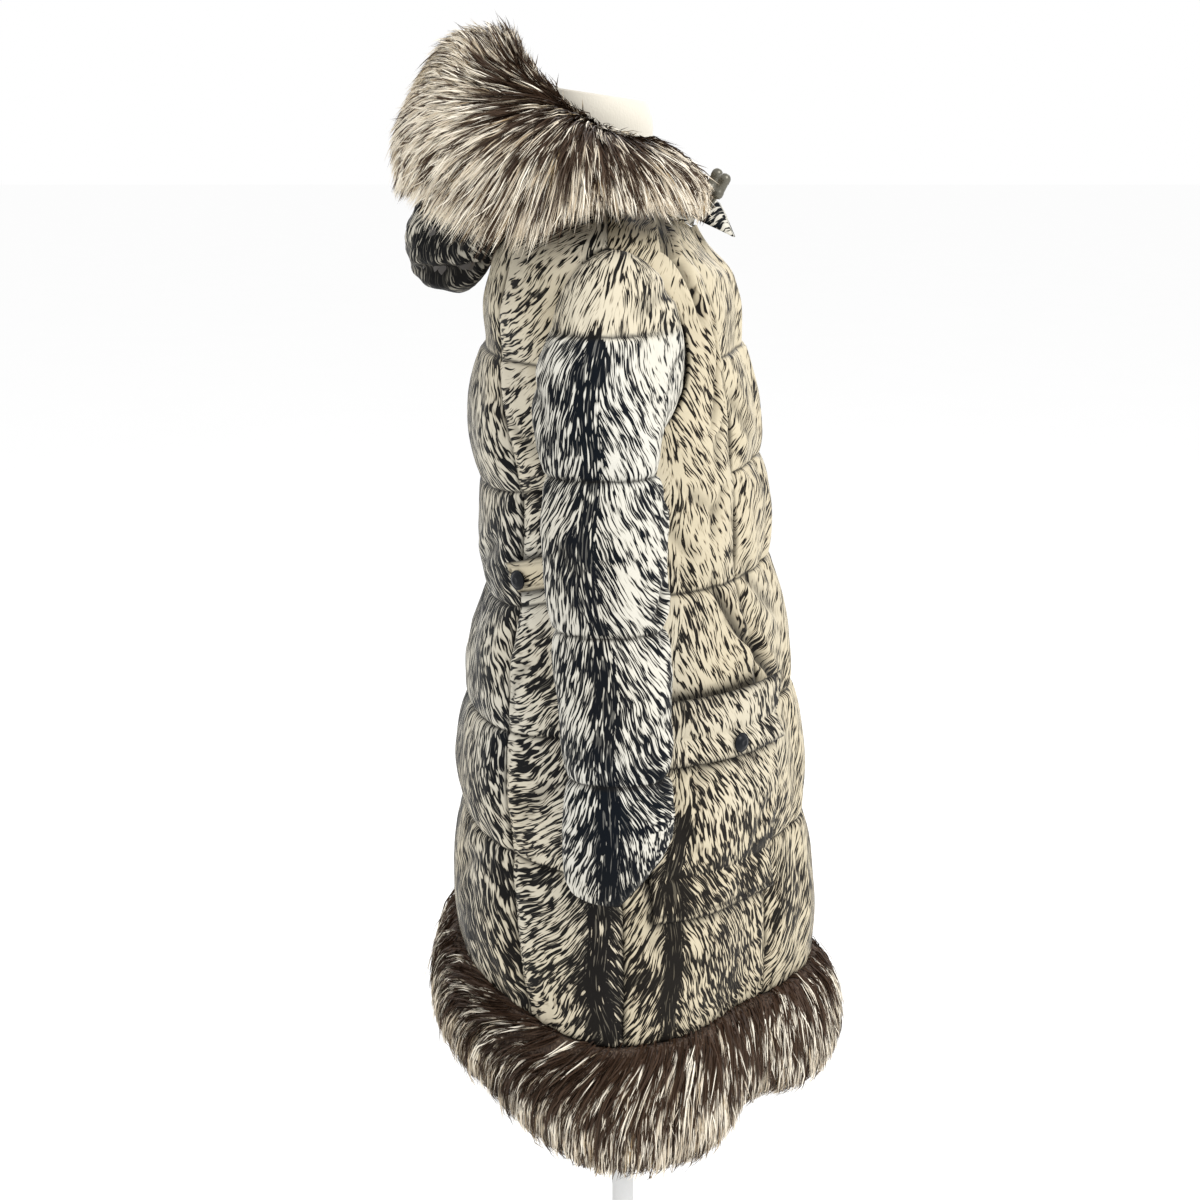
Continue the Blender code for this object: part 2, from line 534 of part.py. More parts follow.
def make_sleeve(hand, side):
    sleeve_half("sleeve_outer_" + hand, side, -SLEEVE_SEAM, SLEEVE_SEAM)
    sleeve_half("sleeve_under_" + hand, side, SLEEVE_SEAM, 360 - SLEEVE_SEAM)


# ---------------------------------------------------------------- hood, collar and ruff
def neck_direction(angle):
    turn = np.radians(angle)
    return np.stack([-np.sin(turn), -np.cos(turn), 0 * turn], -1)


def hood_point(angle, share):
    path = smooth_rows(HOOD_PATH, share)
    bag = ease(1 - np.abs(angle - 180) / HOOD_BAG_SPREAD)
    radius = path[..., 2] + (path[..., 0] - path[..., 2]) * bag
    height = path[..., 3] + (path[..., 1] - path[..., 3]) * bag
    point = neck_direction(angle) * radius[..., None]
    point[..., 1] += NECK_AXIS_Y
    point[..., 2] = height
    return point


def make_hood():
    share = np.linspace(0, 1, 15)[:, None]
    angle = np.linspace(HOOD_START, HOOD_END, 21)[None, :] + 0 * share
    share = share + 0 * angle
    points = hood_point(angle, share)
    normals = outward(hood_point, angle, share, 1.0, 0.01)
    wall("hood", points, points + normals * CLOTH, "shell_nylon")


def ruff_point(angle, row):
    """The ruff's surface. Its rows run from the foot up the inside, over the top and down to the tips."""
    section = smooth_rows(RUFF, np.minimum(angle, 360 - angle))
    point = neck_direction(angle) * section[..., 2 * row, None]
    point[..., 1] += NECK_AXIS_Y
    point[..., 2] = section[..., 2 * row + 1]
    return point


def make_collar(hand, side):
    angle = np.linspace(COLLAR_FRONT, COLLAR_BACK, 9)[None, :]
    upright, folded = np.array(COLLAR_UPRIGHT)[:, None], np.array(COLLAR_FOLDED)[:, None]
    down = 1 - ease((angle - COLLAR_FOLD) / COLLAR_FOLD_LENGTH)
    section = upright + (folded - upright) * down[..., None]
    neckline = body_point(side * angle, NECK_LEVEL) + body_normal(side * angle, NECK_LEVEL) * SEAM_THICKNESS
    points = neckline + neck_direction(side * angle) * section[..., :1] + section[..., 1:] * (0, 0, 1)
    normals = np.cross(np.gradient(points, axis=0), np.gradient(points, axis=1)) * side
    normals /= np.linalg.norm(normals, axis=-1, keepdims=True)
    wall("collar_" + hand, points, points + normals * CLOTH, "shell_nylon")


def make_toggle(hand, side):
    centre = neck_direction(side * TOGGLE_ANGLE) * TOGGLE_RADIUS_OUT + (0, NECK_AXIS_Y, TOGGLE_Z)
    profile = [(radius, along) for along, radius in TOGGLE_PROFILE]
    turned("toggle_" + hand, profile, centre, TOGGLE_AXIS, "toggle", segments=10)


def make_ruff():
    angle = np.linspace(RUFF[0, 0], 360 - RUFF[0, 0], RUFF_COLUMNS + 1)
    rings = np.stack([ruff_point(angle, row) for row in range(RUFF.shape[1] // 2)], 1)
    closed_tube("hood_fur", rings, "fur")


def make_hem_fur():
    angle = np.linspace(0, 360, HEM_FUR_COLUMNS, endpoint=False)
    edge = body_point(angle, HEM_LEVEL + 0 * angle)
    normal = body_normal(angle, HEM_LEVEL + 0.02 + 0 * angle) * (1, 1, 0)
    normal /= np.linalg.norm(normal, axis=-1, keepdims=True)
    form = smooth_rows(HEM_FUR_FORM, angle)
    depth, fuller = form[:, :1] * (0, 0, 1), form[:, 1:]
    fullest = HEM_FUR_SECTION[:, 0].max()
    rings = [edge + normal * out * (1 + fuller / fullest) - depth * share for out, share in HEM_FUR_SECTION]
    rings = np.stack(rings, 1)
    closed_tube("hem_fur", rings, "fur", loop=True)


# ---------------------------------------------------------------- dress form
def form_point(turn, height):
    width, front, back = np.moveaxis(smooth_rows(FORM_SECTIONS, height), -1, 0)
    middle, depth = (front + back) / 2, (back - front) / 2
    slant = CAP_SLANT * ease((height - 1.40) / 0.08)
    y = middle + depth * np.cos(turn)
    return np.stack([width * np.sin(turn), y, height + slant * (y - middle)], -1)


def make_form():
    heights = np.concatenate([[0.800, 0.806], np.linspace(0.85, 1.30, 8), FORM_SECTIONS[8:, 0]])
    turn = np.linspace(0, 2 * np.pi, 20, endpoint=False)
    rings = np.array([form_point(turn, height + 0 * turn) for height in heights])
    closed_tube("form_torso", rings, "form_jersey")
    pole = [(POLE_RADIUS, BASE_HEIGHT + SEAM_GAP), (POLE_RADIUS, FORM_SECTIONS[0, 0] - SEAM_GAP)]
    turned("form_pole", pole, (0, 0, 0), (0, 0, 1), "stand_paint")
    rim = [(BASE_RADIUS, 0), (BASE_RADIUS, BASE_HEIGHT - 0.006), (BASE_RADIUS - 0.008, BASE_HEIGHT)]
    turned("form_base", rim, (0, 0, 0), (0, 0, 1), "stand_paint", segments=32)


def main():
    for old in list(bpy.data.objects):
        bpy.data.objects.remove(old, do_unlink=True)
    bpy.context.scene.collection.children.link(bpy.data.collections.new("puffer_coat"))
    make_body()
    for hand, side in (("right", 1), ("left", -1)):
        make_sleeve(hand, side)
        make_collar(hand, side)
        make_toggle(hand, side)
    make_pockets_and_tabs()
    make_hood()
    make_ruff()
    make_hem_fur()
    make_form()


main()
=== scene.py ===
"""A women's puffer coat on its dress form, dressed piece by piece over the solids and lit for its portrait.

Metres, +Z up. The coat faces -Y, so the wearer's right is -X. The shape tables and the surfaces
body_point, sleeve_point, hood_point, ruff_section, hem_section and form_point are those of the
solids; the collar's fold and the hood's slack are the scene's own. Each shell is a fine grid on its
surface, raised into padding between the quilting lines and puckered beside them. The print follows
three lengths that each shell carries: across the strokes, along them and off their spine. The fur is
locks of tapered hairs combed over the solids' fur.
"""

import math

import bpy
import numpy as np
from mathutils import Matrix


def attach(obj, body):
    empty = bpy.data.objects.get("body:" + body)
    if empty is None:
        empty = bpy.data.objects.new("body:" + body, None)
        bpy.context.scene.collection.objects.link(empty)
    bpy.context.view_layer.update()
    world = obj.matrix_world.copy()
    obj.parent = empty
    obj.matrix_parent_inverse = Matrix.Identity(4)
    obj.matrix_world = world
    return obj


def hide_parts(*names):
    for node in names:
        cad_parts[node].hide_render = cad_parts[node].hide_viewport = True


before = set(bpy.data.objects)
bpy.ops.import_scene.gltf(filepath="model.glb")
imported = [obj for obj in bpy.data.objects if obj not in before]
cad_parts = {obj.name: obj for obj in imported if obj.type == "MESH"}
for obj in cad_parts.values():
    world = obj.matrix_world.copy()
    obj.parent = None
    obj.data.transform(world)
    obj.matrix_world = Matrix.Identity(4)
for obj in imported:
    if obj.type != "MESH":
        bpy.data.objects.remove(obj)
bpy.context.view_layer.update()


# ---------------------------------------------------------------- camera
def set_camera():
    """Two metres from the coat's right side, looking down fifteen degrees."""
    lens = bpy.data.cameras.new("portrait_camera")
    lens.sensor_width = 36.0
    lens.lens = 1903.0 / 1200.0 * 36.0
    camera = bpy.data.objects.new("portrait_camera", lens)
    camera.location = (-2.0, 0.027, 1.50)
    camera.rotation_euler = (math.radians(75.0), 0.0, math.radians(-90.0))
    bpy.context.scene.collection.objects.link(camera)
    bpy.context.scene.camera = camera


set_camera()

# ---------------------------------------------------------------- sizes of the solids
SEAM_GAP = 0.0003
SEAM_THICKNESS = 0.004
PUFF_HEIGHT = 0.013
FRONT_PUFF_HEIGHT = 0.010
SLEEVE_PUFF_HEIGHT = 0.010
CLOTH = 0.003
LAID_ON = 0.0028
DEPTH_CENTRE = 0.02
FRONT_NECK_DROP = 0.045
HEM_TILT = 0.022
NECK_LEVEL = 1.405
HEM_LEVEL = 0.572
QUILT_LEVELS = (HEM_LEVEL, 0.735, 0.862, 0.989, 1.110, 1.246)
SIDE_FRONT_LEVELS = QUILT_LEVELS[:4]
# level, half width, front depth, back depth, front fullness, back fullness, rise
BODY_SECTIONS = np.array([
    (0.560, 0.270, 0.222, 0.158, 1.42, 1.85, 0.000), (0.620, 0.264, 0.219, 0.154, 1.50, 1.88, 0.001),
    (0.741, 0.245, 0.206, 0.150, 1.68, 1.95, 0.008), (0.861, 0.228, 0.190, 0.144, 1.90, 2.05, 0.019),
    (0.989, 0.205, 0.162, 0.121, 2.10, 2.20, 0.032), (1.060, 0.201, 0.154, 0.120, 2.25, 2.30, 0.034),
    (1.130, 0.203, 0.147, 0.128, 2.30, 2.30, 0.015), (1.200, 0.208, 0.139, 0.128, 2.30, 2.30, 0.000),
    (1.260, 0.208, 0.130, 0.122, 2.30, 2.30, 0.000), (1.310, 0.203, 0.121, 0.113, 2.30, 2.30, 0.000),
    (1.345, 0.188, 0.114, 0.102, 2.20, 2.20, 0.000), (1.372, 0.155, 0.102, 0.090, 2.10, 2.10, 0.000),
    (1.392, 0.115, 0.092, 0.082, 2.00, 2.00, 0.000), (1.410, 0.074, 0.082, 0.076, 2.00, 2.00, 0.000),
])
# angle, how far the hem swings out
HEM_WAVES = np.array([
    (0, 0.000), (20, 0.002), (42, -0.014), (66, 0.005), (90, 0.003), (128, -0.004), (155, 0.004),
    (180, 0.000), (205, 0.006), (235, -0.006), (272, 0.005), (305, -0.008), (335, 0.005), (360, 0.000),
])
RIGHT_FRONT_EDGE, LEFT_FRONT_EDGE = -9.0, -6.0
LAP_LIFT, LAP_LANDS, UNDER_LAP, LAP_FADE = 0.0056, 17.0, 14.0, 6.0
SIDE_SEAM, SHOULDER_SEAM = 86.0, 90.0
# level, angle of the seam
FRONT_SEAM = np.array([
    (0.560, 30.0), (0.741, 33.0), (0.862, 34.0), (0.989, 39.0), (1.110, 39.0), (1.246, 39.0), (1.330, 42.0),
    (1.410, 44.0),
])
BACK_SEAM = np.array([
    (0.560, 119.0), (0.680, 127.0), (0.862, 132.0), (0.980, 133.0), (1.070, 128.0), (1.160, 131.0),
    (1.262, 144.0), (1.410, 150.0),
])
ARMHOLE_CENTRE, ARMHOLE_HALF_HEIGHT = 1.262, 0.092
ARMHOLE_FRONT, ARMHOLE_BACK = 30.0, 25.0
# outer edge x and z, inner edge x and z, half width, Y of its middle
SLEEVE_RINGS = np.array([
    (0.1850, 1.354, 0.2110, 1.177, 0.064, 0.007), (0.2150, 1.353, 0.2330, 1.177, 0.060, 0.011),
    (0.2620, 1.330, 0.2420, 1.167, 0.053, 0.020), (0.2960, 1.280, 0.2480, 1.143, 0.049, 0.026),
    (0.3120, 1.220, 0.2510, 1.125, 0.046, 0.027), (0.3180, 1.159, 0.2530, 1.100, 0.047, 0.023),
    (0.3200, 1.085, 0.2550, 1.055, 0.045, 0.022), (0.3230, 1.014, 0.2580, 0.998, 0.047, 0.018),
    (0.3280, 0.942, 0.2650, 0.935, 0.041, 0.012), (0.3330, 0.872, 0.2720, 0.870, 0.043, 0.010),
    (0.3390, 0.812, 0.2800, 0.822, 0.040, 0.009), (0.3440, 0.757, 0.2880, 0.780, 0.043, 0.009),
])
SLEEVE_QUILT = (0.757, 0.872, 1.014, 1.159, 1.285)
# z, how far before the sleeve's outermost line its dark spine runs
SLEEVE_SPINE = np.array([
    (0.74, -0.009), (0.87, -0.009), (0.954, -0.006), (1.012, -0.010), (1.143, -0.014), (1.28, -0.001),
    (1.36, 0.004),
])
ARMHOLE_SHRINK = 0.035
CUFF_SLANT, CUFF_SLANT_FROM = 0.044, 0.82
NECK_AXIS_Y = 0.03
# share of the way, radius and z at the back, radius and z at the side
HOOD_PATH = np.array([
    (0.00, 0.075, 1.4125, 0.078, 1.4125), (0.10, 0.092, 1.404, 0.081, 1.417),
    (0.24, 0.114, 1.368, 0.084, 1.421), (0.36, 0.132, 1.322, 0.087, 1.425),
    (0.48, 0.156, 1.301, 0.089, 1.428), (0.60, 0.187, 1.322, 0.090, 1.431),
    (0.72, 0.195, 1.366, 0.0905, 1.436), (0.84, 0.163, 1.417, 0.0905, 1.442),
    (0.92, 0.122, 1.465, 0.089, 1.447), (1.00, 0.080, 1.520, 0.087, 1.451),
])
HOOD_START, HOOD_END, HOOD_BAG_SPREAD = 62.0, 298.0, 62.0
# angle, then radius and z of the foot, inside, inner top, top, shoulder, widest point, tips
RUFF = np.array([
    (32, 0.104, 1.392, 0.098, 1.404, 0.101, 1.411, 0.106, 1.415, 0.118, 1.409, 0.127, 1.396, 0.121, 1.378),
    (45, 0.110, 1.396, 0.098, 1.414, 0.100, 1.426, 0.111, 1.432, 0.136, 1.425, 0.152, 1.406, 0.146, 1.386),
    (62, 0.116, 1.408, 0.098, 1.424, 0.099, 1.440, 0.116, 1.449, 0.157, 1.442, 0.185, 1.420, 0.187, 1.393),
    (90, 0.118, 1.418, 0.100, 1.434, 0.098, 1.456, 0.120, 1.470, 0.169, 1.463, 0.209, 1.436, 0.226, 1.399),
    (120, 0.130, 1.420, 0.104, 1.452, 0.094, 1.490, 0.112, 1.512, 0.163, 1.500, 0.209, 1.452, 0.226, 1.388),
    (150, 0.166, 1.412, 0.122, 1.476, 0.088, 1.530, 0.104, 1.552, 0.154, 1.536, 0.204, 1.458, 0.208, 1.398),
    (180, 0.180, 1.410, 0.130, 1.478, 0.086, 1.546, 0.102, 1.563, 0.158, 1.543, 0.204, 1.462, 0.202, 1.410),
])
# out of the body, share of its depth below the hem
HEM_FUR_SECTION = np.array([
    (0.001, 0.005), (0.014, 0.005), (0.028, 0.210), (0.036, 0.560),
    (0.032, 0.870), (0.012, 1.000), (0.001, 0.940), (-0.001, 0.480),
])
# angle, depth, fuller
HEM_FUR_FORM = np.array([
    (0, 0.120, 0.013), (22, 0.116, 0.010), (44, 0.108, 0.000), (66, 0.134, 0.002), (92, 0.132, 0.000),
    (135, 0.112, -0.004), (180, 0.112, 0.004), (225, 0.116, 0.000), (268, 0.128, 0.002), (300, 0.118, 0.000),
    (335, 0.124, 0.008), (360, 0.120, 0.013),
])
POCKET_BOTTOM, POCKET_TOP = 0.697, 0.886
FLAP_BOTTOM, FLAP_TOP = 0.840, 0.898
TAB_BOTTOM, TAB_TOP = 1.004, 1.036
# first and last angle, low and high level
POCKET_OUTLINE = (32.0, 79.0, POCKET_BOTTOM, POCKET_TOP)
FLAP_OUTLINE = (30.5, 80.0, FLAP_BOTTOM, FLAP_TOP)
TAB_OUTLINE = (87.0, 132.5, TAB_BOTTOM, TAB_TOP)
POCKET_BULGE, TAB_SLANT = 0.007, 5.0
FLAP_SNAP_AT, TAB_SNAP_AT = (51.5, 0.852), (125.0, 1.017)
SNAP_RADIUS, SNAP_HEIGHT, SNAP_SETTING, FLAP_OVER_POCKET = 0.010, 0.0045, 0.0024, 0.004
COLLAR_FRONT, COLLAR_BACK, COLLAR_FOLD, COLLAR_FOLD_LENGTH = 15.0, 61.0, 20.0, 10.5
COLLAR_UPRIGHT = ((0.000, 0.002), (0.000, 0.005), (0.000, 0.008), (-0.001, 0.011))
COLLAR_FOLDED = ((0.001, 0.002), (0.008, 0.024), (0.029, 0.027), (0.047, -0.008))
TOGGLE_ANGLE, TOGGLE_RADIUS_OUT, TOGGLE_Z, TOGGLE_AXIS = 27.0, 0.139, 1.408, (0.0, -0.45, 0.89)
POLE_RADIUS, BASE_RADIUS, BASE_HEIGHT = 0.0125, 0.165, 0.016
# z, half width, Y in front, Y behind
FORM_SECTIONS = np.array([
    (0.800, 0.128, -0.086, 0.086), (0.806, 0.140, -0.097, 0.098), (0.870, 0.152, -0.108, 0.112),
    (0.960, 0.136, -0.096, 0.092), (1.020, 0.124, -0.088, 0.086), (1.120, 0.142, -0.096, 0.104),
    (1.220, 0.156, -0.100, 0.108), (1.300, 0.158, -0.078, 0.100), (1.340, 0.130, -0.050, 0.088),
    (1.366, 0.088, -0.034, 0.084), (1.392, 0.058, -0.026, 0.082), (1.430, 0.051, -0.024, 0.079),
    (1.490, 0.050, -0.023, 0.079), (1.496, 0.047, -0.020, 0.076),
])
CAP_SLANT = 0.15

# ---------------------------------------------------------------- how fine the visible pieces are
PANEL_ROWS = 249  # hem to neck, closer together at the quilting lines and the armhole's ends
SLEEVE_GRID = (300, 96)  # rows from armhole to cuff, columns round
INNER_STEP = 3  # the inside has every third row and column
SEAM_EDGE = 0.0018  # thickness at a sewn edge
STITCH_DEPTH = 0.0022
RELIEF_LIMIT = 0.0022  # the most that puckers stand above the padding
STITCH_WIDTH, GROOVE_SHADE_WIDTH = 0.0026, 0.0014  # a quilting line's groove, and the painted shade along it
TOPSTITCH_IN = 0.0060  # from an edge to its topstitching
LOCKS = {"ruff": 3000, "hem": 2600}  # locks of hair a side
HAIRS_EACH, HAIR_WIDTH, LOCK_SPREAD, LOCK_STEPS = 9, 0.0016, 0.0036, 4
ROOT_SUNK = 0.04  # how far inside the dense base the roots are, as a share of the section

# The creases: piece, from and to as (share across, level), depth, width. Share 0 is the panel's
# front edge.
CREASES = (
    ("side_front_right", (0.30, 1.010), (-0.12, 0.905), 0.0110, 0.0065),
    ("side_front_right", (0.34, 0.975), (0.02, 0.925), 0.0050, 0.0060),
    ("side_front_right", (0.06, 1.420), (0.62, 1.262), 0.0100, 0.0110),
    ("side_front_right", (0.10, 1.330), (0.34, 1.150), 0.0060, 0.0090),
    ("side_front_right", (0.02, 1.240), (0.20, 1.100), 0.0040, 0.0080),
    ("side_front_right", (0.10, 1.110), (0.30, 1.020), 0.0035, 0.0070),
    ("front_right", (1.06, 0.955), (0.66, 0.872), 0.0080, 0.0065),
    ("side_front_right", (0.55, 1.110), (0.18, 1.060), 0.0030, 0.0080),
    ("side_front_right", (0.72, 1.075), (0.40, 1.015), 0.0026, 0.0070),
    ("side_front_right", (0.92, 0.700), (0.60, 0.640), 0.0030, 0.0090),
    ("side_front_left", (0.34, 1.035), (0.02, 0.935), 0.0070, 0.0100),
    ("side_front_left", (0.14, 1.320), (0.40, 1.140), 0.0055, 0.0110),
    ("side_front_left", (0.62, 1.120), (0.30, 1.080), 0.0030, 0.0080),
    ("side_front_left", (0.80, 0.705), (0.50, 0.620), 0.0035, 0.0100),
    ("front_right", (0.95, 1.020), (0.45, 0.930), 0.0045, 0.0100),
    ("front_right", (0.98, 1.230), (0.62, 1.130), 0.0040, 0.0090),
    ("front_left", (0.90, 1.015), (0.40, 0.955), 0.0045, 0.0100),
    ("front_left", (0.95, 1.210), (0.55, 1.150), 0.0035, 0.0090),
    ("side_back_right", (0.30, 1.060), (0.75, 0.995), 0.0040, 0.0090),
    ("side_back_right", (0.62, 0.940), (0.95, 0.880), 0.0040, 0.0090),
    ("side_back_right", (0.35, 0.830), (0.80, 0.765), 0.0036, 0.0090),
    ("side_back_right", (0.80, 1.210), (0.35, 1.130), 0.0036, 0.0090),
    ("side_back_left", (0.25, 1.070), (0.70, 1.000), 0.0040, 0.0090),
    ("side_back_left", (0.55, 0.840), (0.92, 0.770), 0.0040, 0.0090),
    ("side_back_left", (0.85, 1.220), (0.40, 1.140), 0.0036, 0.0090),
    ("back", (0.05, 1.060), (0.34, 1.000), 0.0040, 0.0100),
    ("back", (0.96, 1.050), (0.62, 0.995), 0.0045, 0.0100),
    ("back", (0.20, 1.330), (0.36, 1.270), 0.0036, 0.0090),
    ("back", (0.84, 1.325), (0.66, 1.262), 0.0036, 0.0090),
    ("back", (0.40, 0.930), (0.66, 0.880), 0.0030, 0.0090),
    ("back", (0.10, 0.720), (0.34, 0.640), 0.0034, 0.0100),
    ("back", (0.92, 0.705), (0.60, 0.655), 0.0034, 0.0100),
)
# A pocket's creases: from and to as (share across, level), depth, width
POCKET_CREASES = (
    ((0.52, 0.846), (0.82, 0.808), 0.0060, 0.0050), ((0.78, 0.835), (0.97, 0.775), 0.0050, 0.0080),
    ((0.88, 0.815), (0.70, 0.745), 0.0030, 0.0080), ((0.05, 0.800), (0.30, 0.730), 0.0028, 0.0090),
)
# The hood's creases: from and to as lengths (across, down), depth, width
HOOD_CREASES = (
    ((-0.055, 0.16), (-0.010, 0.27), 0.010, 0.010), ((0.050, 0.18), (0.015, 0.30), 0.009, 0.010),
    ((-0.020, 0.13), (0.030, 0.20), 0.006, 0.009), ((-0.09, 0.20), (-0.05, 0.30), 0.007, 0.010),
)
# The sleeves' creases: piece, from and to as (turn, z), depth, width
SLEEVE_CREASES = (
    ("sleeve_right", (72, 1.070), (48, 1.020), 0.0050, 0.0080),
    ("sleeve_right", (100, 1.045), (60, 1.000), 0.0045, 0.0080),
    ("sleeve_right", (120, 1.180), (62, 1.120), 0.0035, 0.0080),
    ("sleeve_right", (-60, 1.105), (-20, 1.060), 0.0030, 0.0080),
    ("sleeve_right", (-110, 1.250), (-50, 1.200), 0.0034, 0.0090),
    ("sleeve_right", (60, 1.330), (20, 1.300), 0.0030, 0.0080),
    ("sleeve_right", (-40, 0.925), (10, 0.895), 0.0030, 0.0080),
    ("sleeve_right", (95, 0.900), (40, 0.860), 0.0034, 0.0080),
    ("sleeve_left", (80, 1.075), (40, 1.025), 0.0050, 0.0080),
    ("sleeve_left", (-70, 1.120), (-20, 1.075), 0.0036, 0.0080),
    ("sleeve_left", (110, 1.190), (64, 1.140), 0.0034, 0.0080),
    ("sleeve_left", (30, 0.930), (-20, 0.895), 0.0030, 0.0080),
    ("sleeve_left", (-120, 0.960), (-60, 0.915), 0.0034, 0.0090),
)


# ---------------------------------------------------------------- curves and surfaces
def smooth_rows(table, at):
    """The table's other columns at these values of its first, on a Catmull-Rom curve through its rows."""
    at = np.clip(np.asarray(at, float), table[0, 0], table[-1, 0])
    slopes = np.gradient(table[:, 1:], table[:, 0], axis=0)
    row = np.clip(np.searchsorted(table[:, 0], at, side="right") - 1, 0, len(table) - 2)
    span = (table[row + 1, 0] - table[row, 0])[..., None]
    t = (at - table[row, 0])[..., None] / span
    low, high = table[row, 1:], table[row + 1, 1:]
    return (
        low * (1 + 2 * t) * (1 - t) ** 2 + slopes[row] * span * t * (1 - t) ** 2
        + high * t * t * (3 - 2 * t) - slopes[row + 1] * span * t * t * (1 - t)
    )


def ease(value):
    """0 below 0, 1 above 1, and smooth between."""
    value = np.clip(value, 0, 1)
    return value * value * (3 - 2 * value)


def unit(vectors):
    """Vectors over their lengths."""
    return vectors / np.maximum(np.linalg.norm(vectors, axis=-1, keepdims=True), 1e-12)


def body_point(angle, level):
    """The body at its quilting lines: a superellipse at each level, swung out by the hem's waves."""
    angle, level = np.broadcast_arrays(np.asarray(angle, float), np.asarray(level, float))
    width, front, back, front_power, back_power, rise = np.moveaxis(smooth_rows(BODY_SECTIONS, level), -1, 0)
    turn = np.radians(angle)
    sine, cosine = np.sin(turn), np.cos(turn)
    power = np.where(cosine > 0, front_power, back_power)
    reach = (np.abs(sine) ** power + np.abs(cosine) ** power) ** (-1 / power)
    across, along = sine * reach, cosine * reach
    skirt = ease((0.90 - level) / (0.90 - HEM_LEVEL))
    swing = 1 + smooth_rows(HEM_WAVES, angle % 360)[..., 0] * skirt / width
    x = -width * across * swing
    y = DEPTH_CENTRE - np.where(cosine > 0, front, back) * along * swing
    dropped = FRONT_NECK_DROP * ease((level - 1.27) / (NECK_LEVEL - 1.27)) * np.clip(cosine, 0, 1) ** 1.3
    tilted = HEM_TILT * cosine * ease((0.989 - level) / (0.989 - HEM_LEVEL))
    raised = rise * ease((1 + cosine) / 0.85)
    return np.stack([x, y, level + raised - dropped - tilted], -1)


def outward(surface, first, second, step_first, step_second):
    """Unit normals of surface(first, second), from its differences along both."""
    along = surface(first + step_first, second) - surface(first - step_first, second)
    up = surface(first, second + step_second) - surface(first, second - step_second)
    return unit(np.cross(up, along))


def body_normal(angle, level):
    """Unit normals of the body, out of the coat."""
    return outward(body_point, angle, level, 0.5, 0.002)


def puff(position, lines):
    """0 on each quilting line, 1 midway between two, 0.45 beyond the last."""
    lines = np.asarray(lines)
    row = np.clip(np.searchsorted(lines, position, side="right") - 1, 0, len(lines) - 1)
    top = np.append(lines[1:], lines[-1] + 1)[row]
    share = np.clip((position - lines[row]) / (top - lines[row]), 0, 1)
    rounded = np.sin(np.pi * share) ** 0.6
    return np.where(position >= lines[-1], 0.45 * ease((position - lines[-1]) / 0.05), rounded)


def armhole_reach(level, towards):
    """Degrees from the armhole's middle to its edge at this level: a half ellipse. towards is -1 in front."""
    height = np.clip((level - ARMHOLE_CENTRE) / ARMHOLE_HALF_HEIGHT, -1, 1)
    return np.where(np.asarray(towards) < 0, ARMHOLE_FRONT, ARMHOLE_BACK) * np.sqrt(1 - height ** 2)


def side_edge(level, towards):
    """Angle where a panel ends at the side: at the side seam, then the armhole, then the shoulder seam."""
    shoulder = ease((level - ARMHOLE_CENTRE) / ARMHOLE_HALF_HEIGHT)
    seam = SIDE_SEAM + (SHOULDER_SEAM - SIDE_SEAM) * shoulder
    return seam + towards * armhole_reach(level, towards)


# ---------------------------------------------------------------- relief of sewn, padded cloth
def line_distance(position, lines):
    """How far each position is from the nearest line, and which line that is."""
    gaps = np.abs(np.asarray(position)[..., None] - np.asarray(lines))
    return gaps.min(-1), gaps.argmin(-1)


def ripple(position, seed, spacing, sharpness=0.30):
    """Uneven ridges along a length: round bumps at seeded places, about spacing apart, from 0 to 1.1."""
    rng = np.random.default_rng(seed)
    count = int(4.0 / spacing)
    places = (np.arange(count) + rng.uniform(0.1, 0.9, count)) * spacing - 2.0
    sizes, widths = rng.uniform(0.35, 1.0, count), rng.uniform(0.6, 1.3, count) * spacing * sharpness
    at = np.linspace(-2.0, 2.0, 8001)
    total = np.zeros_like(at)
    for place, size, width in zip(places, sizes, widths):
        near = np.abs(at - place) < 4 * width
        total[near] += size * np.exp(-((at[near] - place) / width) ** 2)
    return np.interp(position, at, np.minimum(total, 1.1))


def swells(first, second, seed, size, count=14):
    """Uneven filling: a sum of seeded waves about size long over two lengths, from -1 to 1."""
    rng = np.random.default_rng(seed)
    turns, phases = rng.uniform(0, 2 * np.pi, (2, count))
    rates = 2 * np.pi / size * rng.uniform(0.6, 1.5, count)
    total = sum(np.sin(rate * (first * np.cos(turn) + second * np.sin(turn)) + phase)
                for rate, turn, phase in zip(rates, turns, phases))
    return total / math.sqrt(count) / 1.4


def crease(first, second, start, end, depth, width):
    """A valley from start to end with a low lip on each side, fading at both ends."""
    way = np.subtract(end, start)
    length = math.hypot(*way)
    along = ((first - start[0]) * way[0] + (second - start[1]) * way[1]) / length
    aside = ((first - start[0]) * way[1] - (second - start[1]) * way[0]) / length
    fade = ease(along / (0.3 * length)) * ease((length - along) / (0.35 * length))
    bent = aside + 0.10 * length * np.sin(np.pi * np.clip(along / length, 0, 1))
    valley = np.exp(-(bent / width) ** 2)
    lips = np.exp(-((np.abs(bent) - 1.9 * width) / (0.9 * width)) ** 2)
    return depth * fade * (0.35 * lips - valley)


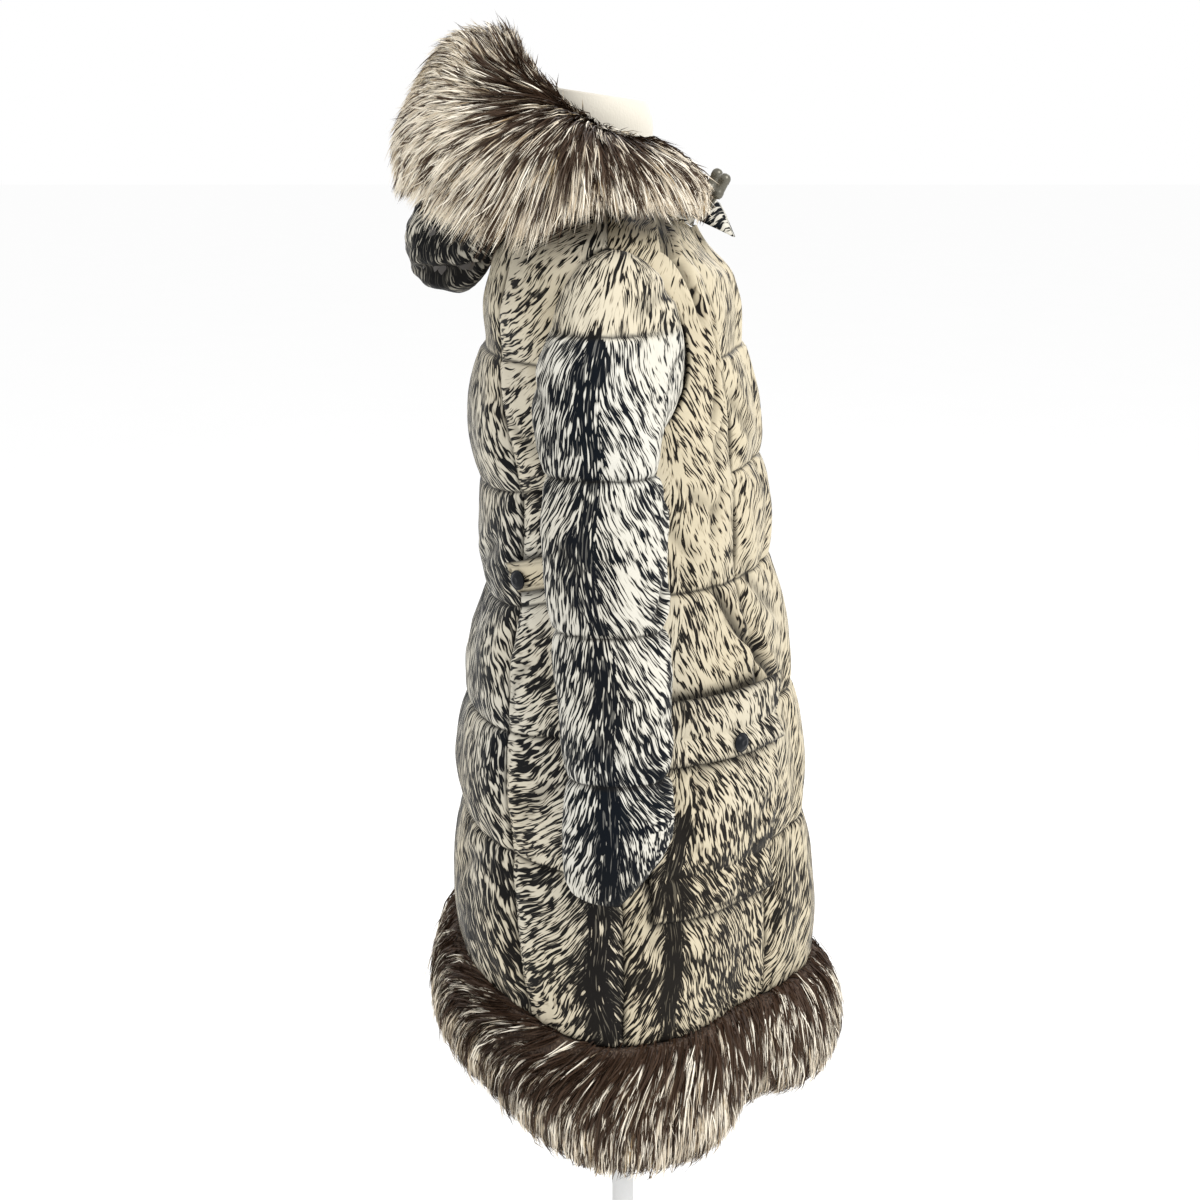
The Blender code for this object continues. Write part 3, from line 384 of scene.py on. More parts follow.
def quilted_relief(across, up, lines, seed, strength=1.0):
    """Puckers square to each quilting line, deepest beside it and gone 4 cm off, over uneven filling."""
    away, which = line_distance(up, lines)
    lean = 0.35 * swells(across, up, seed + 5, 0.11)
    above = up > np.asarray(lines)[which]
    shifted = across + lean * away + which * 0.37 + above * 0.213
    gathers = ripple(shifted, seed, 0.021) - 0.45
    small = ripple(shifted * 1.9 + 0.4, seed + 1, 0.017) - 0.4
    reach = 0.018 + 0.012 * swells(across, up, seed + 9, 0.07)
    beside = np.exp(-away / np.maximum(reach, 0.006)) * (1 - np.exp(-away / 0.0035))
    filling = swells(across, up, seed + 2, 0.085) * (1 - np.exp(-away / 0.02))
    return strength * (0.0042 * gathers * beside + 0.0014 * small * beside + 0.0016 * filling)


def hollowness(height, reach=4):
    """How far each point of a relief lies below the mean of those around it, from 0 to 1 at 3 mm."""
    mean = height
    for _ in range(reach):
        wide = np.pad(mean, 1, mode="edge")
        mean = (wide[:-2, 1:-1] + wide[2:, 1:-1] + wide[1:-1, :-2] + wide[1:-1, 2:] + 2 * mean) / 6
    return np.clip((mean - height) / 0.003, 0, 1)


def laid_shadow(angle, level, *outlines):
    """Shade beside pieces laid on a panel, each given by its first and last angle and level."""
    total = 0.0
    for first, last, low, high in outlines:
        aside = 0.23 * np.radians(np.maximum(np.maximum(first - angle, angle - last), 0))
        apart = np.maximum(np.maximum(low - level, level - high), 0)
        total = total + np.exp(-(np.hypot(aside, apart) / 0.0055) ** 2)
    return np.minimum(total, 1)


def seam_puckers(along, away, seed):
    """Short puckers square to a side seam, gone 2 cm off it."""
    return 0.0022 * (ripple(along, seed, 0.019) - 0.45) * np.exp(-away / 0.010) * (1 - np.exp(-away / 0.003))


# ---------------------------------------------------------------- print coordinates
SPINE_ROUND = 0.004  # the strokes' chevrons are rounded this much where they meet


def fall_lines(across, up, near, far, reach, seed, wander=0.0):
    """Coordinates of strokes that fall away on both sides of a spine, steeper near it than beyond reach.

    near and far are their angles from level, in degrees. The first coordinate is height plus how far the
    strokes have fallen there, so it is constant along a stroke. The second is length along the stroke,
    moved on by the seed. The third is the distance from the spine.
    """
    out = np.hypot(across - wander, SPINE_ROUND) - SPINE_ROUND
    start, end = math.tan(math.radians(near)), math.tan(math.radians(far))
    inside = np.minimum(out, reach)
    fallen = start * inside + (end - start) * inside ** 2 / (2 * reach) + end * (out - inside)
    middle = math.radians(0.5 * (near + far))
    cross = (up + fallen) * math.cos(middle)
    length = out * math.cos(middle) - up * math.sin(middle)
    return np.stack([cross, length + 0.31 * seed, across - wander], -1)


def lengths_across(points):
    """Length from the first column to each column, along each row."""
    steps = np.linalg.norm(np.diff(points, axis=1), axis=-1)
    return np.concatenate([np.zeros((len(points), 1)), np.cumsum(steps, 1)], 1)


def drawn_height(z, points, row, way):
    """Height as far as a row, and past it height there plus length along the cloth.

    way is 1 where past it means up the rows and -1 where it means down them. It keeps the print from being
    drawn out where the cloth lies flat.
    """
    along = lengths_across(points.swapaxes(0, 1)).T
    past = way * (along - along[row])
    return np.where(past > 0, z[row] + past, z)


# ---------------------------------------------------------------- meshes
def new_piece(name, points, faces, materials, replaced=(), attributes=None, face_materials=None):
    title = name + "_dressed" if name in bpy.data.objects else name
    mesh = bpy.data.meshes.new(title)
    sizes = np.concatenate([np.full(len(group), group.shape[1]) for group in faces])
    corners = np.concatenate([group.reshape(-1) for group in faces])
    mesh.vertices.add(len(points))
    mesh.vertices.foreach_set("co", np.ascontiguousarray(points, np.float32).reshape(-1))
    mesh.loops.add(len(corners))
    mesh.loops.foreach_set("vertex_index", corners.astype(np.int32))
    mesh.polygons.add(len(sizes))
    mesh.polygons.foreach_set("loop_start", np.concatenate([[0], np.cumsum(sizes)[:-1]]).astype(np.int32))
    for material in materials:
        mesh.materials.append(material)
    if face_materials is not None:
        mesh.polygons.foreach_set("material_index", face_materials.astype(np.int32))
    mesh.update(calc_edges=True)
    mesh.shade_smooth()
    for key, values in (attributes or {}).items():
        layer = mesh.attributes.new(key, "FLOAT_VECTOR", "POINT")
        layer.data.foreach_set("vector", np.ascontiguousarray(values, np.float32).reshape(-1))
    made = bpy.data.objects.new(title, mesh)
    bpy.context.scene.collection.objects.link(made)
    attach(made, "root")
    if replaced:
        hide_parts(*replaced)
    return made


def grid_faces(index):
    """Quads of a grid of point numbers."""
    return np.stack([index[:-1, :-1], index[:-1, 1:], index[1:, 1:], index[1:, :-1]], -1).reshape(-1, 4)


def numbered(points):
    """Point numbers of a grid of points."""
    return np.arange(points.shape[0] * points.shape[1]).reshape(points.shape[:2])


def shell(name, inner, outer, materials, lie, tone, flip):
    """A closed shell: a fine outer grid, a coarse inner one, and strips that join them round the edges.

    The strips have one coarse and several fine points a side, so both grids keep their own fineness.
    """
    step = INNER_STEP
    fine = numbered(outer)
    coarse_points = inner[::step, ::step]
    coarse = numbered(coarse_points) + fine.size
    outside = grid_faces(fine)
    inside = grid_faces(coarse)[:, ::-1]
    strips = []
    for edge, under, turn in ((fine[0], coarse[0], 1), (fine[-1], coarse[-1], -1),
                              (fine[:, 0], coarse[:, 0], -1), (fine[:, -1], coarse[:, -1], 1)):
        last = (len(under) - 2) * step + 1
        chain = np.stack([edge[k:k + last:step] for k in range(step + 1)], 1)
        strip = np.concatenate([chain, under[1:, None], under[:-1, None]], 1)
        strips.append(strip[:, ::-1] if turn > 0 else strip)
    points = np.concatenate([outer.reshape(-1, 3), coarse_points.reshape(-1, 3)])
    groups = [outside, inside, np.concatenate(strips)]
    if flip:
        groups = [group[:, ::-1] for group in groups]
    kinds = np.concatenate([np.zeros(len(groups[0])), np.ones(len(groups[1])), np.zeros(len(groups[2]))])
    both = {key: np.concatenate([value.reshape(-1, 3), value[::step, ::step].reshape(-1, 3)])
            for key, value in (("lie", lie), ("tone", tone))}
    return new_piece(name, points, groups, materials, [name], both, kinds)


def turned(name, profile, centre, axis, material, replaced, segments=48):
    """A closed solid turned from (radius, height) pairs about an axis: a grid of height rings and turns."""
    axis = unit(np.asarray(axis, float))
    side = unit(np.cross(axis, (0.0, 0.0, 1.0) if abs(axis[2]) < 0.9 else (1.0, 0.0, 0.0)))
    other = np.cross(axis, side)
    turn = np.linspace(0, 2 * np.pi, segments, endpoint=False)[:, None]
    circle = np.cos(turn) * side + np.sin(turn) * other
    profile = np.asarray(profile, float)
    points = np.asarray(centre) + profile[:, :1, None] * circle + profile[:, 1:, None] * axis
    index = numbered(points)
    sides = grid_faces(np.concatenate([index, index[:, :1]], 1))
    if (profile[-1, 1] - profile[0, 1]) < 0:
        sides = sides[:, ::-1]
    caps = np.stack([index[0][::-1], index[-1]])
    return new_piece(name, points.reshape(-1, 3), [sides, caps], [material], replaced)


# ---------------------------------------------------------------- materials
class Finish:
    """A node material put together from left to right."""

    def __init__(self, name, roughness=0.5):
        self.material = bpy.data.materials.new(name)
        self.material.use_nodes = True
        self.nodes, self.links = self.material.node_tree.nodes, self.material.node_tree.links
        self.shader = self.nodes["Principled BSDF"]
        self.shader.inputs["Roughness"].default_value = roughness

    def plug(self, value, socket):
        if isinstance(value, bpy.types.NodeSocket):
            self.links.new(value, socket)
        else:
            socket.default_value = value

    def math(self, kind, *values):
        node = self.nodes.new("ShaderNodeMath")
        node.operation = kind
        for value, socket in zip(values, node.inputs):
            self.plug(value, socket)
        return node.outputs[0]

    def plus(self, first, second):
        return self.math("ADD", first, second)

    def less(self, first, second):
        return self.math("SUBTRACT", first, second)

    def times(self, first, second):
        return self.math("MULTIPLY", first, second)

    def sway(self, noise, reach):
        """A noise about 0, by reach from its one end to its other."""
        return self.times(self.less(noise, 0.5), reach)

    def scaled(self, vector, scale):
        node = self.nodes.new("ShaderNodeVectorMath")
        node.operation = "MULTIPLY"
        self.plug(vector, node.inputs[0])
        node.inputs[1].default_value = scale
        return node.outputs[0]

    def joined(self, x, y, z):
        node = self.nodes.new("ShaderNodeCombineXYZ")
        for value, socket in zip((x, y, z), node.inputs):
            self.plug(value, socket)
        return node.outputs[0]

    def parts(self, vector):
        node = self.nodes.new("ShaderNodeSeparateXYZ")
        self.plug(vector, node.inputs[0])
        return node.outputs[:3]

    def place(self):
        return self.nodes.new("ShaderNodeTexCoord").outputs["Object"]

    def carried(self, name):
        node = self.nodes.new("ShaderNodeAttribute")
        node.attribute_name = name
        return node.outputs["Vector"]

    def noise(self, vector, scale=1.0, detail=2.0, rough=0.5):
        node = self.nodes.new("ShaderNodeTexNoise")
        self.plug(vector, node.inputs["Vector"])
        node.inputs["Scale"].default_value = scale
        node.inputs["Detail"].default_value = detail
        node.inputs["Roughness"].default_value = rough
        return node.outputs["Fac"]

    def step(self, value, low, high):
        node = self.nodes.new("ShaderNodeMapRange")
        node.interpolation_type = "SMOOTHSTEP"
        self.plug(value, node.inputs["Value"])
        self.plug(low, node.inputs["From Min"])
        self.plug(high, node.inputs["From Max"])
        return node.outputs["Result"]

    def mix(self, share, first, second):
        node = self.nodes.new("ShaderNodeMix")
        node.data_type = "RGBA"
        self.plug(share, node.inputs["Factor"])
        for value, socket in ((first, node.inputs[6]), (second, node.inputs[7])):
            self.plug((*value, 1.0) if isinstance(value, tuple) else value, socket)
        return node.outputs[2]

    def ramp(self, value, stops):
        node = self.nodes.new("ShaderNodeValToRGB")
        self.plug(value, node.inputs["Fac"])
        elements = node.color_ramp.elements
        while len(elements) < len(stops):
            elements.new(0.5)
        for element, (position, colour) in zip(elements, stops):
            element.position, element.color = position, (*colour, 1.0)
        return node.outputs["Color"]

    def bump(self, height, distance, strength=1.0):
        node = self.nodes.new("ShaderNodeBump")
        node.inputs["Distance"].default_value = distance
        node.inputs["Strength"].default_value = strength
        self.plug(height, node.inputs["Height"])
        self.links.new(node.outputs["Normal"], self.shader.inputs["Normal"])

    def colour(self, value):
        self.plug((*value, 1.0) if isinstance(value, tuple) else value, self.shader.inputs["Base Color"])

    def rough(self, value):
        self.plug(value, self.shader.inputs["Roughness"])


def printed_nylon(name):
    """Fur printed on nylon: dark strokes where three stretched noises, broad, fine and thin as hair, together
    fall below a level.

    lie carries the lengths across and along the strokes and off their spine, tone how dark, warm and shaded
    the cloth is.
    """
    cloth = Finish(name, 0.46)
    place, lie, tone = cloth.place(), cloth.carried("lie"), cloth.carried("tone")
    cross, along, off = cloth.parts(lie)
    dark, warm, shade = cloth.parts(tone)
    for rate, reach in ((14.0, 0.020), (40.0, 0.006)):
        cross = cloth.plus(cross, cloth.sway(cloth.noise(place, rate, 1.0), reach))
    height = cloth.parts(place)[2]
    which_side = cloth.times(cloth.step(off, -0.020, 0.020), 1.6)
    at_spine = cloth.step(cloth.math("ABSOLUTE", off), 0.013, 0.004)

    def strokes(width, length, shift, detail):
        """Stretched noise along the chevrons and, at their spine, straight down it."""
        slanted = cloth.joined(cloth.times(cross, 1.0 / width), cloth.times(along, 1.0 / length),
                               cloth.plus(which_side, shift))
        upright = cloth.joined(cloth.times(off, 1.0 / width), cloth.times(height, 1.0 / length), shift + 0.5)
        first, second = cloth.noise(slanted, 1.0, detail), cloth.noise(upright, 1.0, detail)
        return cloth.plus(first, cloth.times(at_spine, cloth.less(second, first)))

    broad = strokes(0.0029, 0.022, 0.0, 1.0)
    fine = strokes(0.0015, 0.012, 7.3, 0.0)
    thin = strokes(0.0011, 0.018, 3.1, 0.0)
    mixed = cloth.plus(cloth.times(broad, 0.60), cloth.times(fine, 0.40))
    mixed = cloth.plus(mixed, cloth.sway(thin, 0.16))
    level = cloth.plus(0.425, cloth.times(dark, 0.19))
    level = cloth.plus(level, cloth.sway(cloth.noise(place, 19.0, 2.0), 0.20))
    below = cloth.less(level, mixed)
    ink, halo = cloth.step(below, -0.011, 0.009), cloth.step(below, -0.075, 0.004)

    pale = cloth.mix(warm, (0.71, 0.70, 0.64), (0.64, 0.565, 0.41))
    pale = cloth.mix(cloth.times(cloth.noise(place, 6.0, 2.0), 0.40), pale, (0.42, 0.36, 0.25))
    undercoat = cloth.mix(warm, (0.25, 0.24, 0.205), (0.28, 0.225, 0.15))
    black = cloth.mix(warm, (0.003, 0.005, 0.008), (0.012, 0.010, 0.008))
    printed = cloth.mix(ink, cloth.mix(cloth.times(halo, 0.80), pale, undercoat), black)
    printed = cloth.mix(cloth.times(cloth.step(thin, 0.60, 0.68), 0.15), printed, pale)
    cloth.colour(cloth.mix(cloth.times(shade, 0.85), printed, (0.010, 0.009, 0.008)))
    crumple = cloth.noise(place, 75.0, 3.0, 0.6)
    weave = cloth.noise(cloth.scaled(place, (1.0, 1.0, 2.4)), 1500.0, 0.0)
    cloth.rough(cloth.plus(0.40, cloth.times(crumple, 0.16)))
    cloth.bump(cloth.plus(crumple, cloth.times(weave, 0.10)), 0.0016, 0.55)
    cloth.shader.inputs["Specular IOR Level"].default_value = 0.06
    return cloth.material


def lining_satin():
    """Dark taupe lining with a fine twill."""
    cloth = Finish("lining_satin", 0.38)
    place = cloth.place()
    cloth.colour(cloth.mix(cloth.noise(place, 30.0, 2.0), (0.045, 0.040, 0.036), (0.075, 0.066, 0.058)))
    cloth.bump(cloth.noise(cloth.scaled(place, (1.0, 1.0, 3.0)), 900.0, 0.0), 0.0004, 0.4)
    return cloth.material


def hair_finish(name):
    """Guard hairs, brown-black from the root to where each turns cream. tint carries the length along the
    hair, where it turns cream, and how pale it is."""
    hair = Finish(name, 0.45)
    along, start, lot = hair.parts(hair.carried("tint"))
    pale = hair.step(hair.less(along, start), -0.05, 0.14)
    root = hair.mix(lot, (0.008, 0.004, 0.003), (0.055, 0.030, 0.018))
    root = hair.mix(hair.times(along, 0.35), root, (0.13, 0.088, 0.056))
    tip = hair.mix(lot, (0.36, 0.255, 0.135), (0.98, 0.91, 0.77))
    hair.colour(hair.mix(pale, root, tip))
    hair.shader.inputs["Specular IOR Level"].default_value = 0.12
    return hair.material


def underfur(name):
    """Dense wool under the guard hairs, streaked the way it lies."""
    wool = Finish(name, 0.9)
    place = wool.place()
    streaks = wool.noise(wool.scaled(place, (1.0, 1.0, 0.25)), 420.0, 3.0)
    wool.colour(wool.ramp(streaks, ((0.30, (0.020, 0.011, 0.007)), (0.55, (0.075, 0.046, 0.030)),
                                    (0.75, (0.20, 0.145, 0.10)))))
    wool.bump(streaks, 0.004, 1.0)
    return wool.material


def form_jersey():
    """Cream jersey with fine upright ribs and a faint mottle."""
    cloth = Finish("form_jersey", 0.85)
    place = cloth.place()
    cloth.colour(cloth.mix(cloth.noise(place, 22.0, 3.0), (0.66, 0.615, 0.52), (0.75, 0.71, 0.62)))
    ribs = cloth.noise(cloth.scaled(place, (1.0, 1.0, 0.15)), 700.0, 1.0)
    cloth.bump(cloth.plus(ribs, cloth.noise(place, 500.0, 1.0)), 0.0004, 0.35)
    cloth.shader.inputs["Sheen Weight"].default_value = 0.25
    return cloth.material


def painted(name, low, high, roughness, metallic=0.0, specular=0.25):
    """Paint or moulded plastic with a faint mottle and orange peel."""
    coat = Finish(name, roughness)
    place = coat.place()
    coat.colour(coat.mix(coat.noise(place, 180.0, 3.0), low, high))
    coat.shader.inputs["Metallic"].default_value = metallic
    coat.shader.inputs["Specular IOR Level"].default_value = specular
    coat.rough(coat.plus(roughness - 0.06, coat.times(coat.noise(place, 60.0, 2.0), 0.12)))
    coat.bump(coat.noise(place, 650.0, 1.0), 0.0002, 0.35)
    return coat.material


SHELL = [printed_nylon("shell_nylon"), lining_satin()]
SLEEVE = [printed_nylon("sleeve_nylon"), SHELL[1]]


# ---------------------------------------------------------------- the body's panels
def panel_levels():
    """Row levels from hem to neck, closest at the quilting lines and at the armhole's two ends."""
    level = np.linspace(HEM_LEVEL, NECK_LEVEL, 4001)
    away, _ = line_distance(level, QUILT_LEVELS)
    ends = np.abs(np.abs(level - ARMHOLE_CENTRE) - ARMHOLE_HALF_HEIGHT)
    density = 1 + 2.6 * np.exp(-(away / 0.007) ** 2) + 2.0 * np.exp(-(ends / 0.005) ** 2)
    count = np.concatenate([[0], np.cumsum(density[:-1])])
    return np.interp(np.linspace(0, count[-1], PANEL_ROWS + 1), count, level)


def arc_from(angle, levels, anchor):
    """Length along the body at each level from the anchor's angle to each angle, towards the back above 0."""
    turn = np.linspace(-20, 360, 381)
    length = lengths_across(body_point(turn[None, :], levels))
    reached = np.stack([np.interp(row, turn, along) for row, along in zip(angle, length)])
    start = np.array([np.interp(anchor, turn, along) for along in length])
    return reached - start[:, None]


# panel: angle its print is measured from and its spine's place from there, strokes' angles near and far, over
# what reach, how dark the spine is and how wide, how dark and warm the rest is
PRINT = {
    "front": (0.0, -0.01, 60, 58, 0.10, 0.10, 0.012, 0.12, 1.00),
    "side_front": (SIDE_SEAM, -0.050, 66, 54, 0.14, 0.85, 0.011, 0.13, 0.85),
    "side_back": (SIDE_SEAM, 0.019, 60, 20, 0.08, 0.95, 0.022, 0.34, 0.40),
    "back": (180.0, 0.0, 76, 58, 0.14, 0.50, 0.030, 0.50, 0.35),
}


def print_at(kind, angle, levels, z, seed):
    """The print of a panel's kind: its lie, and how dark and warm it is."""
    anchor, place, steep, flat, reach, spine_dark, spine_width, base_dark, warmth = PRINT[kind]
    across = arc_from(angle, levels, anchor)
    wander = 0.005 * np.sin(z * 21 + seed) + 0.003 * np.sin(z * 53 + 2 * seed)
    off = across - place - wander
    lie = fall_lines(off, z, steep, flat, reach, seed * 3.7)
    broken = 0.85 + 0.45 * swells(across, z, seed + 20, 0.06)
    stripe = spine_dark * broken * np.exp(-(off / spine_width) ** 2)
    lower = 1 - ease((z - 0.66) / 0.25)
    if kind == "side_front":
        stripe = stripe * (1 - ease((z - 0.78) / 0.06))
    in_front = kind in ("side_front", "front")
    upper = ease((z - 1.12) / 0.14)
    if kind == "side_back":
        stripe = stripe * (1 - upper)
    dark = base_dark + stripe + 0.15 * swells(across, z, seed + 21, 0.12)
    dark += 0.34 * lower - 0.10 * upper if in_front else -0.24 * upper
    warm = np.clip(warmth + 0.18 * swells(across, z, seed + 22, 0.2) + 0.35 * lower + 0.40 * upper, 0, 1)
    return lie, dark, warm


def panel(name, kind, side, start, end, lines, columns, seed, lap=0.0, puff_height=PUFF_HEIGHT):
    """A body panel: body_point over start to end at each level, raised by padding, puckers and creases."""
    levels = panel_levels()[:, None]
    first, last = start(levels), end(levels)
    radius = np.linalg.norm(body_point(90, levels)[..., :2], axis=-1)
    gap = np.degrees(SEAM_GAP / 2 / radius)
    first, last = first + gap, last - gap
    angle = first + (last - first) * np.linspace(0, 1, columns + 1)
    level = levels + 0 * angle
    points, normals = body_point(side * angle, level), body_normal(side * angle, level)
    across = lengths_across(points)
    width = across[:, -1:]
    near = np.minimum(across, width - across)
    share = across / width

    shoulder = 1 - ease((level - 1.33) / 0.06)
    fall = 0.3 + 0.7 * ease(near / 0.022)
    height = puff_height * puff(level, lines) * fall * shoulder
    height *= 1 if lap else ease((angle - UNDER_LAP) / LAP_FADE)
    relief = quilted_relief(across, level, lines, seed) * (0.25 + 0.75 * shoulder)
    relief += seam_puckers(level, near, seed + 3)
    folds = 0 * relief
    for piece, begin, finish, depth, wide in CREASES:
        if piece == name:
            middle = width.mean()
            folds += crease(share * middle, level, (begin[0] * middle, begin[1]),
                            (finish[0] * middle, finish[1]), depth, wide)
    relief += folds
    quiet = 1 if lap or name != "front_left" else ease((angle - UNDER_LAP) / LAP_FADE)
    relief = np.minimum(relief * quiet, RELIEF_LIMIT)
    away, _ = line_distance(level, lines)
    stitched = STITCH_DEPTH * np.exp(-(away / STITCH_WIDTH) ** 2)
    rolled = SEAM_EDGE + (SEAM_THICKNESS - SEAM_EDGE) * (1 - np.exp(-near / 0.0035))
    lift = lap * ease((LAP_LANDS - angle) / LAP_FADE)
    thick = np.maximum(rolled + height + relief - stitched, 0.0012)
    outer = points + normals * (thick + lift)[..., None]
    inner = points + normals * lift[..., None]

    shoulder_row = int(np.searchsorted(levels[:, 0], 1.29))
    height_drawn = drawn_height(points[..., 2], points, shoulder_row, 1)
    lie, dark, warm = print_at(kind, angle, levels, height_drawn, seed)
    # painted shade: along the quilting lines, at the seams, in hollows and creases, along the hem and beside
    # laid pieces
    shade = np.exp(-(away / GROOVE_SHADE_WIDTH) ** 2) + 0.6 * np.exp(-(near / 0.0018) ** 2) * shoulder
    shade += 0.55 * hollowness(thick) + 0.7 * np.clip(-folds / 0.008, 0, 1)
    shade += np.exp(-(level - HEM_LEVEL) / 0.004)
    if kind == "side_front":
        shade += laid_shadow(angle, level, POCKET_OUTLINE, FLAP_OUTLINE)
    elif kind == "side_back":
        shade += laid_shadow(angle, level, TAB_OUTLINE)
    tone = np.stack([dark, warm, np.clip(shade, 0, 1)], -1)
    made = shell(name, inner, outer, SHELL, lie, tone, side < 0)


def back_seam(level):
    """Angle of the seam between the back and a side back panel."""
    return smooth_rows(BACK_SEAM, level)[..., 0]


def front_seam(level):
    """Angle of the seam between a front and a side front panel."""
    return smooth_rows(FRONT_SEAM, level)[..., 0]


def make_body():
    """The back, two side backs, two side fronts and two fronts; the right front laps over the left."""
    panel("back", "back", 1, back_seam, lambda level: 360 - back_seam(level), QUILT_LEVELS, 75, 11)
    for hand, side, edge, lap, seed in (("right", 1, RIGHT_FRONT_EDGE, LAP_LIFT, 30),
                                        ("left", -1, LEFT_FRONT_EDGE, 0.0, 60)):
        panel("side_back_" + hand, "side_back", side, lambda level: side_edge(level, 1), back_seam,
              QUILT_LEVELS, 48, seed + 1)
        panel("side_front_" + hand, "side_front", side, front_seam, lambda level: side_edge(level, -1),
              SIDE_FRONT_LEVELS, 60, seed + 2)
        panel("front_" + hand, "front", side, lambda level: edge + 0 * level, front_seam,
              QUILT_LEVELS, 42, seed + 3, lap, FRONT_PUFF_HEIGHT)


# ---------------------------------------------------------------- sleeves
def cuff_rise(turn, share):
    """How far the sleeve's front is pulled up towards its cuff."""
    in_front = np.maximum(np.sin(np.radians(turn)), 0)
    return CUFF_SLANT * in_front * ease((share - CUFF_SLANT_FROM) / (1 - CUFF_SLANT_FROM))


def sleeve_point(turn, share, side=1):
    """The sleeve's tube through its rings, drawn on to the armhole at its head. turn 0 is its outer edge."""
    turn, share = np.broadcast_arrays(np.asarray(turn, float), np.asarray(share, float))
    rings = np.column_stack([np.linspace(0, 1, len(SLEEVE_RINGS)), SLEEVE_RINGS])
    ring = smooth_rows(rings, share)
    outer_edge = np.stack([-ring[..., 0], ring[..., 5], ring[..., 1]], -1)
    inner_edge = np.stack([-ring[..., 2], ring[..., 5], ring[..., 3]], -1)
    centre, half = (outer_edge + inner_edge) / 2, (outer_edge - inner_edge) / 2
    forward = np.stack([0 * turn, -ring[..., 4], 0 * turn], -1)
    angle = np.radians(turn)[..., None]
    tube = centre + half * np.cos(angle) + forward * np.sin(angle)
    level = ARMHOLE_CENTRE + ARMHOLE_HALF_HEIGHT * np.cos(np.radians(turn))
    towards = np.where(np.sin(np.radians(turn)) > 0, -1.0, 1.0)
    inside = armhole_reach(level, towards) * (1 - ARMHOLE_SHRINK)
    armhole = body_point(side_edge(level, 0 * towards) + towards * inside, level)
    join = (1 - ease(share * (len(SLEEVE_RINGS) - 1) / 1.5))[..., None]
    point = armhole * join + tube * (1 - join)
    point[..., 2] += cuff_rise(turn, share)
    return point * np.array([side, 1, 1])


